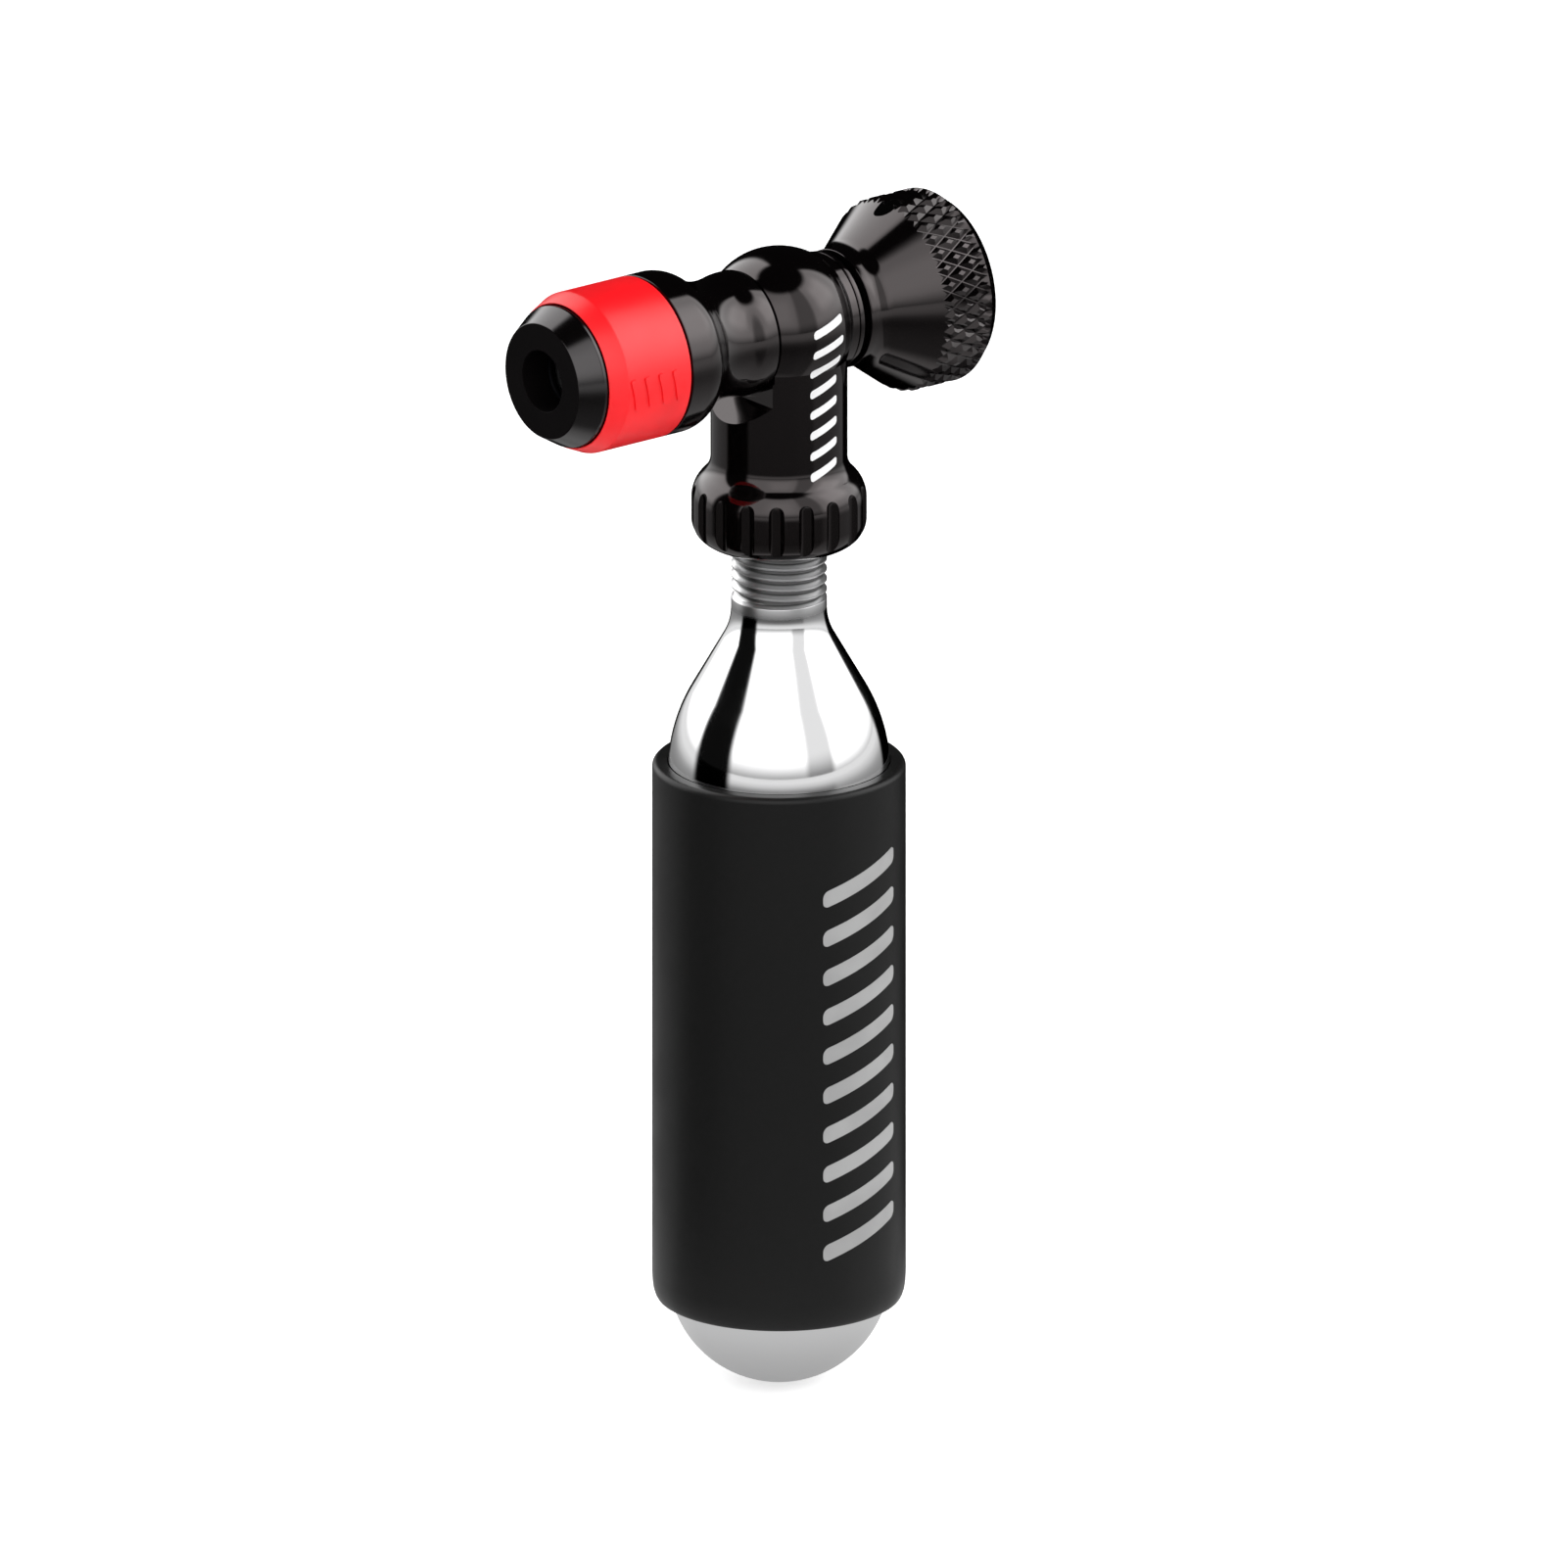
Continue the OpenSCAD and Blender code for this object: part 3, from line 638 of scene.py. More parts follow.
FOAM = Finish("closed_cell_foam", "black_foam", (0.0085, 0.0085, 0.0085),
              roughness=0.36, ior=1.3, grain=9.0, relief=0.006)
# Near-black spring steel for the grip ring, so that the ring stays dark deep inside the chuck's
# mouth.
DARK_SPRING_STEEL = Finish("blued_spring_wire", "spring_steel", (0.006, 0.006, 0.007), metallic=1.0,
                     roughness=0.55, relief=0.0005)
STEEL = Finish("turned_steel", "spring_steel", (0.56, 0.56, 0.57), metallic=1.0,
               roughness=0.28, uneven=0.08, rings=9.0, relief=0.001)
BRASS = Finish("turned_brass", "brass", (0.72, 0.52, 0.24), metallic=1.0,
               roughness=0.27, uneven=0.1, rings=9.0, relief=0.001)
RUBBER = Finish("moulded_rubber", "seal_rubber", (0.022, 0.022, 0.022),
                roughness=0.6, uneven=0.12, grain=18.0, relief=0.003)
NYLON = Finish("natural_nylon", "white_nylon", (0.82, 0.80, 0.75),
               roughness=0.42, uneven=0.08, grain=10.0, relief=0.002)
# Matte black patch on the knob's flare, dull enough to stay black where the flare catches a
# highlight.
DARK_PATCH_BLACK = Finish("black_index", "black_anodised", (0.001, 0.001, 0.001), roughness=0.9,
                     ior=1.04, relief=0.001)
WHITE_PRINT = Finish("white_print", "light_print", (0.86, 0.86, 0.86), roughness=0.5, relief=0.002)
GREY_PRINT = Finish("grey_print", "light_print", (0.35, 0.35, 0.35), roughness=0.6, relief=0.004)


def hand_over(bm: BMesh, name: str, body: str, finishes: list[Finish],
              stands_for: str | None = None, sharp: float = 35.0) -> None:
    """Makes a finished piece of a mesh and hangs it on its body.

    Args:
        bm: the piece's mesh, in millimetres. It is used up.
        name: the piece's name.
        body: CAD body that it moves with.
        finishes: its finishes, in the order of its faces' material numbers.
        stands_for: CAD node that it replaces, if any.
        sharp: angle between faces above which an edge stays sharp, in degrees.
    """
    piece = new_object(bm, name)
    piece.data.shade_smooth()
    piece.data.set_sharp_from_angle(angle=math.radians(sharp))
    even = piece.modifiers.new("even_normals", "WEIGHTED_NORMAL")
    even.keep_sharp = True
    for finish in finishes:
        piece.data.materials.append(finish.material())
    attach(piece, body)
    off = ""
    if stands_for:
        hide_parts(stands_for)
        low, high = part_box(stands_for)
        corners = [Vector(c) for c in piece.bound_box]
        least = min(min(c[i] for c in corners) - low[i] for i in range(3))
        most = max(max(c[i] for c in corners) - high[i] for i in range(3))
        off = f", box {least / MM:+.3f} and {most / MM:+.3f} mm from {stands_for}"
    LOG.info("%s: %d faces on %s%s", name, len(piece.data.polygons), body, off)


# The sizes of the sub-assemblies are in millimetres. Names that end in _r are radii, in _x
# distances from the mouth, and in _z heights above the head's axis.
@dataclass
class Chuck:
    """Push-on valve chuck: black barrel, red collar and nose, turned about the head's axis.

    Attributes:
        tail_bore: the bore of the nose's tail, from the rear.
        flush: how near the mouth's plane counts as on the nose's face.
        bevel_blend: how the collar's bevel bends into its side, from the corner of the two.
        bore: the barrel's bore, from the rear.
    """

    mouth_r: float = 3.13
    mouth_x: float = 3.2
    nose_face_r: float = 5.88
    cone_x: float = 2.25
    nose_r: float = 7.2
    lip_x: float = 3.5
    tail_r: float = 5.9
    tail_x: float = 9.3
    tail_bore: Stretches = ((4.4, 4.9), (3.2, 4.2))
    nose_round: float = 0.07
    flush: float = 0.01
    collar_x: float = 2.7
    collar_face: float = 0.12
    collar_bevel_x: float = 4.5
    collar_round: float = 0.05
    bevel_blend: tuple[Point, ...] = ((-0.12, -0.05), (0.02, -0.012), (0.2, 0.0))
    nose_gap: float = 0.1
    tube_gap: float = 0.05
    flange_gap: float = 0.28
    tube_x: float = 4.4
    tube_r: float = 6.9
    tube_bore_r: float = 5.95
    flange_x: float = 12.7
    flange_r: float = 8.2
    flange_end_x: float = 15.0
    round_r: float = 3.336
    sweep_r: float = 6.5
    waist_x: float = 21.2
    waist_r: float = 6.0
    waist_len: float = 0.3
    bulge_end_x: float = 24.1
    bulge_steps: int = 12
    barrel_r: float = 6.3
    barrel_round: float = 0.09
    seam_x: float = 25.3
    seam_width: float = 0.2
    seam_floor_r: float = 5.7
    spigot_r: float = 4.0
    spigot_x: float = 28.15
    bore: Stretches = ((19.5, 1.2), (9.4, 3.4), (4.4, 5.95))

    def barrel(self) -> BMesh:
        """Shapes the barrel with its flange, sweep, waist and bulge.

        Returns:
            The barrel, in millimetres.
        """
        sweep = self.waist_x - self.flange_end_x
        turn = math.degrees(math.asin(sweep / (self.round_r + self.sweep_r)))
        outline = Outline().stairs(self.tube_x, (self.flange_x, self.tube_r))
        outline.to((self.flange_x, self.flange_r))
        outline.arc((self.flange_end_x, self.flange_r - self.round_r), self.round_r, 0, turn)
        outline.arc((self.waist_x, self.waist_r + self.sweep_r), self.sweep_r, 180 + turn, 180)
        swell, start = self.barrel_r - self.waist_r, self.waist_x + self.waist_len
        for i in range(1, self.bulge_steps + 1):
            share = i / self.bulge_steps
            outline.to((start + share * (self.bulge_end_x - start),
                        self.waist_r + swell * math.sin(share * math.pi / 2) ** 2))
        front = self.seam_x - self.seam_width
        outline.to((front, self.barrel_r), (front, self.seam_floor_r))
        outline.to((self.seam_x, self.seam_floor_r))
        outline.stairs(self.seam_x, (self.spigot_x, self.spigot_r))
        outline.stairs(self.spigot_x, *self.bore)
        return soften(outline.spin(Axis.HEAD), self.barrel_round, above=40.0)

    def collar(self) -> BMesh:
        """Shapes the red collar with its front bevel and inner lip.

        Returns:
            The collar, in millimetres.
        """
        front_r, bore_r = self.nose_r + self.nose_gap, self.tube_r + self.tube_gap
        outline = Outline().to((self.collar_x, front_r))
        outline.to((self.collar_x, front_r + self.collar_face))
        outline.to(*((self.collar_bevel_x + a, self.flange_r + r) for a, r in self.bevel_blend))
        rear = self.flange_x - self.flange_gap
        outline.to((rear, self.flange_r))
        outline.stairs(rear, (self.tube_x, bore_r), (self.lip_x, self.tube_bore_r))
        outline.to((self.lip_x, front_r))
        return soften(outline.spin(Axis.HEAD, steps=180), self.collar_round, above=40.0)

    def nose(self) -> BMesh:
        """Shapes the nose with its cone, mouth and tail, and marks its face as matte.

        Returns:
            The nose, in millimetres.
        """
        outline = Outline().to((0, self.mouth_r), (0, self.nose_face_r))
        outline.stairs(self.cone_x, (self.lip_x, self.nose_r), (self.tail_x, self.tail_r))
        outline.stairs(self.tail_x, *self.tail_bore)
        outline.to((self.mouth_x, self.mouth_r))
        bm = soften(outline.spin(Axis.HEAD), self.nose_round)
        for face in bm.faces:
            middle = face.calc_center_median()
            inside = middle.yz.length < self.mouth_r + self.nose_round
            if middle.x < self.flush or (middle.x < self.mouth_x and inside):
                face.material_index = 1
        return bm

    def build(self) -> None:
        """Makes the chuck's three visible pieces."""
        hand_over(self.barrel(), "chuck_barrel", "head", [GLOSS_BLACK], "chuck_body")
        hand_over(self.collar(), "red_collar", "head", [RED], "chuck_collar")
        hand_over(self.nose(), "valve_nose", "head", [NOSE_BLACK, MATTE_BLACK], "chuck_nose")


@dataclass
class Head:
    """Black head: ball, column, boss and fluted port, with the gland behind it.

    Attributes:
        flat: distance from the column's axis to the flat on the chuck's side.
        boss: distance from the column's axis to the flat on the knob's side.
        over: how far the flutes' tools reach past the port.
        seam: start, end, inner and outer radius of the cut beside the chuck's seam.
        bore: the bore along the head.
        drop: the bore down the column.
    """

    ball_r: float = 7.65
    column_r: float = 6.8
    flat: float = 4.7
    boss: float = 5.4
    boss_r: float = 6.1
    boss_len: float = 6.5
    flat_depth: float = 6.8
    ledge_angle: float = 47.0
    tool_size: float = 9.0
    over: float = 1.0
    fillet_r: float = 2.5
    fillet_z: float = -13.769
    shoulder_r: float = 3.5
    port_r: float = 8.7
    port_top_z: float = -18.15
    port_low_z: float = -20.25
    port_edge_r: float = 2.65
    bottom_z: float = -22.9
    flutes: int = 18
    flute_r: float = 0.85
    flute_top_z: float = -16.35
    flute_offset: float = 0.25
    seam: tuple[float, float, float, float] = (24.5, 25.45, 5.5, 6.6)
    bore_start: float = 24.0
    bore: Stretches = ((26.12, 4.87), (29.4, 4.05), (30.85, 3.0), (37.0, 4.5))
    drop_start: float = -1.0
    drop: Stretches = ((-10.5, 0.5), (-15.2, 3.05), (-24.0, 4.8125))
    gland_start: float = 31.86
    gland_outer: Stretches = ((35.4, 4.45), (35.65, 5.3), (36.15, 6.0))
    gland_inner: Stretches = ((34.06, 2.55), (31.86, 3.0))
    gland_round: float = 0.05

    @property
    def x(self) -> float:
        """Distance of the column's axis from the mouth."""
        return Axis.COLUMN.centre.x

    def blank(self) -> BMesh:
        """Turns the ball, column, shoulder and port in one piece.

        Returns:
            The blank, in millimetres.
        """
        drop = self.fillet_z - self.port_top_z
        swing = math.degrees(math.asin(drop / (self.shoulder_r + self.fillet_r)))
        meet = math.degrees(math.asin(self.column_r / self.ball_r))
        outline = Outline().arc((0, 0), self.ball_r, 90, meet - 90, 2.5)
        outline.arc((self.fillet_z, self.column_r + self.fillet_r), self.fillet_r, 180, 180 + swing)
        outline.arc((self.port_top_z, self.port_r - self.shoulder_r), self.shoulder_r, swing, 0)
        outline.arc((self.port_low_z, self.port_r - self.port_edge_r), self.port_edge_r, 0, -90)
        outline.to((self.bottom_z, 0))
        return outline.spin(Axis.COLUMN, closed=False)

    def flat_tools(self) -> BMesh:
        """Makes the tools of the two flats with the ledges below them.

        Returns:
            Both tools in one mesh, in millimetres.
        """
        bm = bmesh.new()
        size, depth = self.tool_size, self.flat_depth
        ledge = depth + size * math.tan(math.radians(self.ledge_angle))
        for side, flat in ((-1, self.flat), (1, self.boss)):
            corners = ((flat, size), (flat, -depth), (flat + size, -ledge), (flat + size, size))
            face = bm.faces.new([bm.verts.new((self.x + side * a, -size, z)) for a, z in corners])
            grown = bmesh.ops.extrude_face_region(bm, geom=[face])["geom"]
            moved = [g for g in grown if isinstance(g, BMVert)]
            bmesh.ops.translate(bm, vec=(0, 2 * size, 0), verts=moved)
        bmesh.ops.recalc_face_normals(bm, faces=bm.faces[:])
        return bm

    def flute_tools(self) -> BMesh:
        """Makes the ring of round-ended tools that cut the flutes.

        Returns:
            All tools in one mesh, in millimetres.
        """
        low = self.bottom_z - self.over
        outline = Outline().arc((self.flute_top_z - self.flute_r, 0), self.flute_r, 90, 0, 7.5)
        outline.to((low, self.flute_r), (low, 0))
        bm = outline.spin(Axis.COLUMN, steps=40, closed=False)
        bmesh.ops.translate(bm, vec=(self.port_r + self.flute_offset, 0, 0), verts=bm.verts[:])
        turn = math.tau / self.flutes
        about = Matrix.Translation(Axis.COLUMN.centre)
        half_turn = about @ Matrix.Rotation(turn / 2, 4, "Z") @ about.inverted()
        bmesh.ops.transform(bm, matrix=half_turn, verts=bm.verts[:])
        bmesh.ops.spin(bm, geom=everything(bm), cent=Axis.COLUMN.centre, axis=(0, 0, 1),
                       angle=math.tau - turn, steps=self.flutes - 1, use_duplicate=True)
        return bm

    def bores(self) -> list[tuple[Cut, BMesh]]:
        """Makes the tools of the chuck's seam and of the bores along and down the head.

        Returns:
            What each tool does, and the tool.
        """
        start, end, inner, outer = self.seam
        seam = Outline().to((start, inner), (start, outer), (end, outer), (end, inner))
        along = Outline().rod(self.bore_start, *self.bore)
        down = Outline().rod(self.drop_start, *self.drop)
        return [(Cut.REMOVE, seam.spin(Axis.HEAD, 96)),
                (Cut.REMOVE, along.spin(Axis.HEAD, 96, closed=False)),
                (Cut.REMOVE, down.spin(Axis.COLUMN, 96, closed=False))]

    def body(self) -> BMesh:
        """Works the turned blank into the head.

        Returns:
            The head, in millimetres.
        """
        boss = Outline().rod(self.x, (self.x + self.boss_len, self.boss_r))
        steps = [(Cut.JOIN, boss.spin(Axis.HEAD, closed=False)), (Cut.REMOVE, self.flat_tools()),
                 (Cut.REMOVE, self.flute_tools()), *self.bores()]
        return carved(self.blank(), steps)

    def gland(self) -> BMesh:
        """Shapes the gland with its thin flange.

        Returns:
            The gland, in millimetres.
        """
        outline = Outline().stairs(self.gland_start, *self.gland_outer)
        outline.stairs(self.gland_outer[-1][0], *self.gland_inner)
        return soften(outline.spin(Axis.HEAD), self.gland_round)

    def build(self) -> None:
        """Makes the head and its gland."""
        hand_over(self.body(), "valve_head", "head", [GLOSS_BLACK], "head_body", sharp=25.0)
        hand_over(self.gland(), "gland_ring", "head", [GLOSS_BLACK], "gland_nut")


@dataclass
class Knob:
    """Flared control knob with a diamond knurl round its grip.

    Attributes:
        slope: angle of the flare, in degrees.
        hollow: the knob's bore, from the rear.
        knurl_x: where the knurled band starts, on the flare.
        knurl_end_x: where it ends, on the end chamfer.
        diamonds: number of diamonds round the grip.
        cells: diamonds along each side of the pressed sheet.
        groove: half the width of the flat between two diamonds.
        flank: width of a diamond's sloping side.
        depth: height of a diamond.
        facets: facets across a diamond.
        fade: length over which the diamonds sink towards the grip's end.
    """

    neck_x: float = 37.05
    neck_r: float = 6.0
    neck_end_x: float = 37.8
    blend_r: float = 3.0
    slope: float = 35.4
    grip_r: float = 9.8
    grip_x: float = 44.1
    grip_end_x: float = 49.2
    end_x: float = 50.455
    end_r: float = 8.85
    edge_round: float = 0.1
    hollow: Stretches = ((48.955, 6.5), (46.2, 3.05), (44.4, 1.6), (37.05, 2.37))
    knurl_x: float = 43.3
    knurl_end_x: float = 49.85
    diamonds: int = 36
    diamond_len: float = 3.12
    diamond_x: float = 46.13
    cells: int = 8
    groove: float = 0.055
    flank: float = 0.47
    depth: float = 0.4
    facets: int = 5
    fade: float = 0.5

    @property
    def pitch(self) -> float:
        """Width of one diamond round the grip."""
        return math.tau * self.grip_r / self.diamonds

    @property
    def flare(self) -> float:
        """Rise of the flare over a millimetre of length."""
        return math.tan(math.radians(self.slope))

    @property
    def chamfer(self) -> float:
        """Fall of the end chamfer over a millimetre of length."""
        return (self.grip_r - self.end_r) / (self.end_x - self.grip_end_x)

    def knurl(self) -> BMesh:
        """Presses one strip of diamonds, bends it and repeats it round the grip.

        Returns:
            The knurled band, open at both ends, in millimetres.
        """
        bm = bmesh.new()
        bmesh.ops.create_grid(bm, x_segments=self.cells, y_segments=self.cells, size=self.cells / 2)
        bmesh.ops.rotate(bm, cent=(0, 0, 0), matrix=Matrix.Rotation(math.pi / 4, 3, "Z"),
                         verts=bm.verts[:])
        root = math.sqrt(2)
        bmesh.ops.scale(bm, vec=(self.diamond_len / root, self.pitch / root, 1), verts=bm.verts[:])
        bmesh.ops.translate(bm, vec=(self.diamond_x, 0, -self.depth), verts=bm.verts[:])
        bmesh.ops.inset_individual(bm, faces=bm.faces[:], thickness=self.groove,
                                   use_even_offset=True)
        tops = [f for f in bm.faces if all(len(v.link_edges) == 3 for v in f.verts)]
        bmesh.ops.inset_individual(bm, faces=tops, thickness=self.flank, depth=self.depth,
                                   use_even_offset=True)
        for k in range(self.facets + 1):
            bmesh.ops.bisect_plane(bm, geom=everything(bm), plane_no=(0, 1, 0),
                                   plane_co=(0, k * self.pitch / self.facets, 0),
                                   clear_inner=k == 0, clear_outer=k == self.facets)
        for stop in (self.grip_end_x - self.fade, self.grip_end_x):
            bmesh.ops.bisect_plane(bm, geom=everything(bm), plane_co=(stop, 0, 0),
                                   plane_no=(1, 0, 0))
        for vert in bm.verts:
            vert.co.z *= min(1.0, max(0.0, (self.grip_end_x - vert.co.x) / self.fade))
        self.run_out(bm, self.grip_x, self.flare, self.knurl_x)
        self.run_out(bm, self.grip_end_x, -self.chamfer, self.knurl_end_x)
        for vert in bm.verts:
            x, around, height = vert.co
            turn = math.degrees(around / self.grip_r)
            vert.co = Axis.HEAD.place(x, self.grip_r + height, turn)
        others = self.diamonds - 1
        bmesh.ops.spin(bm, geom=everything(bm), cent=(0, 0, 0), axis=(1, 0, 0),
                       angle=-math.tau * others / self.diamonds, steps=others, use_duplicate=True)
        return bm

    def run_out(self, bm: BMesh, edge_x: float, rise: float, stop_x: float) -> None:
        """Trims the flat strip of diamonds where it meets a slope, and fills in the slope.

        Args:
            bm: the flat strip, with its height above the grip in z.
            edge_x: where the slope reaches the grip's radius.
            rise: how much the slope rises over a millimetre of length.
            stop_x: where the slope's strip ends.
        """
        bmesh.ops.bisect_plane(bm, geom=everything(bm), plane_co=(edge_x, 0, 0),
                               plane_no=(-rise, 0, 1), clear_outer=True)
        step, near = self.pitch / self.facets, 1e-4
        rim = [e for e in bm.edges if len(e.link_faces) == 1 and
               all(abs(v.co.z - rise * (v.co.x - edge_x)) < near for v in e.verts)]
        grown = bmesh.ops.extrude_edge_only(bm, edges=rim)
        for vert in (g for g in grown["geom"] if isinstance(g, BMVert)):
            vert.co = (stop_x, round(vert.co.y / step) * step, rise * (stop_x - edge_x))

    def body(self) -> BMesh:
        """Shapes the knob round its knurled band.

        Returns:
            The knob, in millimetres.
        """
        start_r = self.grip_r + self.flare * (self.knurl_x - self.grip_x)
        stop_r = self.grip_r - self.chamfer * (self.knurl_end_x - self.grip_end_x)
        outline = Outline().to((self.knurl_end_x, stop_r), (self.end_x, self.end_r))
        outline.stairs(self.end_x, *self.hollow).to((self.neck_x, self.neck_r))
        outline.arc((self.neck_end_x, self.neck_r + self.blend_r), self.blend_r,
                    180, 180 - self.slope)
        outline.to((self.knurl_x, start_r))
        turned = outline.spin(Axis.HEAD, self.diamonds * self.facets, closed=False)
        return gather(soften(turned, self.edge_round, above=30.0), self.knurl())

    def build(self) -> None:
        """Makes the knob."""
        hand_over(self.body(), "control_knob", "knob", [GLOSS_BLACK], "knob", sharp=24.0)


@dataclass
class Cartridge:
    """Threaded gas cartridge with its foam sleeve, both on the column's axis.

    Attributes:
        chamfer: length and depth of the chamfer at the mouth.
        flare: how the root bends out to the neck below the thread, each point as its
            distance below the thread's end and its depth in the neck.
        crest: half the width of the ridge's crest, in pitches.
        foot: half the width of the ridge's foot, in pitches.
        sunk: how far the ridge's foot lies inside the root.
        thread_cut: turns by which the ridge is shorter than the thread.
        thread_steps: facets in a turn of the thread.
        rise_len: length over which the ridge rises at the mouth.
        fall_len: length over which the ridge sinks at its end.
        fade_gap: how far inside both ends the ridge starts to rise.
        rim_r: round of the sleeve's upper rim.
        rim_run: length of the sleeve that the upper rim takes.
        lower_rim: points of the sleeve's lower rim, each as its height above the sleeve's
            end and its depth in the sleeve's side.
    """

    mouth: float = -16.75
    chamfer: Point = (0.2, 0.1)
    thread_r: float = 4.7625
    root_r: float = 4.1625
    pitch: float = 1.0583
    threads: int = 11
    flare: tuple[Point, ...] = ((0.12, 0.03), (0.2, 0.0))
    crest: float = 0.07
    foot: float = 0.46
    sunk: float = 0.08
    thread_cut: float = 0.4
    thread_steps: int = 72
    rise_len: float = 0.6
    fall_len: float = 0.7
    fade_gap: float = 0.1
    neck_bottom: float = -29.591
    hollow_r: float = 5.9
    slope: float = 29.8
    round_r: float = 17.8
    wall_r: float = 11.05
    bottom: float = -110.05
    wall: float = 1.3
    bore_r: float = 1.9
    cap_seat: float = -17.85
    cap_pocket_r: float = 2.65
    sleeve_top: float = -45.68
    sleeve_bottom: float = -101.4
    sleeve_bore_r: float = 11.1
    sleeve_r: float = 12.58
    rim_r: float = 0.6
    rim_run: float = 2.0
    lower_rim: tuple[Point, ...] = ((2.6, 0.0), (1.6, 0.05), (0.9, 0.14), (0.4, 0.3),
                                    (0.12, 0.46), (0.0, 0.66))

    def wall_top(self, neck: float, inset: float) -> float:
        """Gives the height where the shoulder meets the straight wall.

        Args:
            neck: radius of the neck.
            inset: how far the line lies inside the bottle's outer skin.

        Returns:
            The height, in millimetres.
        """
        tilt = math.radians(self.slope)
        hollow, turn = self.hollow_r + inset, self.round_r - inset
        low = neck + hollow * (1 - math.cos(tilt))
        high = self.wall_r - inset - turn * (1 - math.cos(tilt))
        return self.neck_bottom - (hollow + turn) * math.sin(tilt) - (high - low) / math.tan(tilt)

    def side(self, outline: Outline, neck: float, inset: float) -> BMesh:
        """Adds the bottle's side from the neck down to the end of its dome, and turns it.

        Args:
            outline: outline to add to.
            neck: radius of the neck.
            inset: how far the line lies inside the bottle's outer skin.

        Returns:
            The turned skin, in millimetres.
        """
        hollow, turn = self.hollow_r + inset, self.round_r - inset
        wall = self.wall_r - inset
        outline.arc((self.neck_bottom, neck + hollow), hollow, 180, 180 + self.slope, 2)
        outline.arc((self.wall_top(neck, inset), wall - turn), turn, self.slope, 0, 2)
        outline.arc((self.bottom + self.wall_r, 0), wall, 0, -90, 3)
        return outline.spin(Axis.COLUMN, closed=False)

    def bottle(self) -> BMesh:
        """Shapes the bottle, hollow, with a helical thread round its neck.

        Returns:
            The bottle, in millimetres.
        """
        length, depth = self.chamfer
        thread_end = self.mouth - self.threads * self.pitch
        outside = Outline().to((self.cap_seat, self.bore_r))
        outside.stairs(self.cap_seat, (self.mouth, self.cap_pocket_r))
        outside.to((self.mouth, self.root_r - depth), (self.mouth - length, self.root_r))
        outside.to((thread_end + length, self.root_r))
        outside.to(*((thread_end - down, self.thread_r - inward) for down, inward in self.flare))
        inside = Outline().to((self.cap_seat, self.bore_r))
        return gather(self.side(outside, self.thread_r, 0),
                      self.side(inside, self.bore_r, self.wall), self.thread())

    def thread(self) -> BMesh:
        """Winds the thread's ridge down the neck, fading out at both ends.

        Returns:
            The ridge, in millimetres.
        """
        bm = bmesh.new()
        crest, foot, base = self.crest * self.pitch, self.foot * self.pitch, self.root_r - self.sunk
        start = self.mouth - 0.5 * self.pitch
        section = ((-foot, base), (-crest, self.thread_r), (crest, self.thread_r), (foot, base))
        verts = [bm.verts.new(Axis.COLUMN.place(start + a, r)) for a, r in section]
        face = bm.faces.new(verts)
        steps = round((self.threads - self.thread_cut) * self.thread_steps)
        bmesh.ops.spin(bm, geom=[*verts, *bm.edges[:], face], cent=Axis.COLUMN.centre,
                       axis=(0, 0, 1), dvec=(0, 0, -self.pitch / self.thread_steps),
                       angle=math.tau * steps / self.thread_steps, steps=steps)
        last = start - steps * self.pitch / self.thread_steps
        for vert in bm.verts:
            reach = (vert.co - Axis.COLUMN.centre).to_2d()
            rise = (start + self.fade_gap - vert.co.z) / self.rise_len
            fall = (vert.co.z - last + self.fade_gap) / self.fall_len
            height = max(0.0, min(1.0, rise, fall)) * (reach.length - base)
            vert.co.xy = Axis.COLUMN.centre.xy + reach.normalized() * (base + height)
        bmesh.ops.recalc_face_normals(bm, faces=bm.faces[:])
        return bm

    def sleeve(self) -> BMesh:
        """Shapes the foam sleeve with its rounded rims.

        Returns:
            The sleeve, in millimetres.
        """
        outline = Outline().stairs(self.sleeve_bottom, (self.sleeve_top, self.sleeve_bore_r))
        outline.arc((self.sleeve_top - self.rim_r, self.sleeve_r - self.rim_r), self.rim_r,
                    90, 0, 12)
        outline.to((self.sleeve_top - self.rim_run, self.sleeve_r))
        outline.to(*((self.sleeve_bottom + up, self.sleeve_r - inward)
                     for up, inward in self.lower_rim))
        return outline.spin(Axis.COLUMN, 180)

    def build(self) -> None:
        """Makes the cartridge and its sleeve."""
        hand_over(self.bottle(), "gas_cartridge", "cartridge", [CHROME], "cartridge_shell",
                  sharp=40.0)
        hand_over(self.sleeve(), "insulating_sleeve", "sleeve", [FOAM], "foam_sleeve", sharp=50.0)


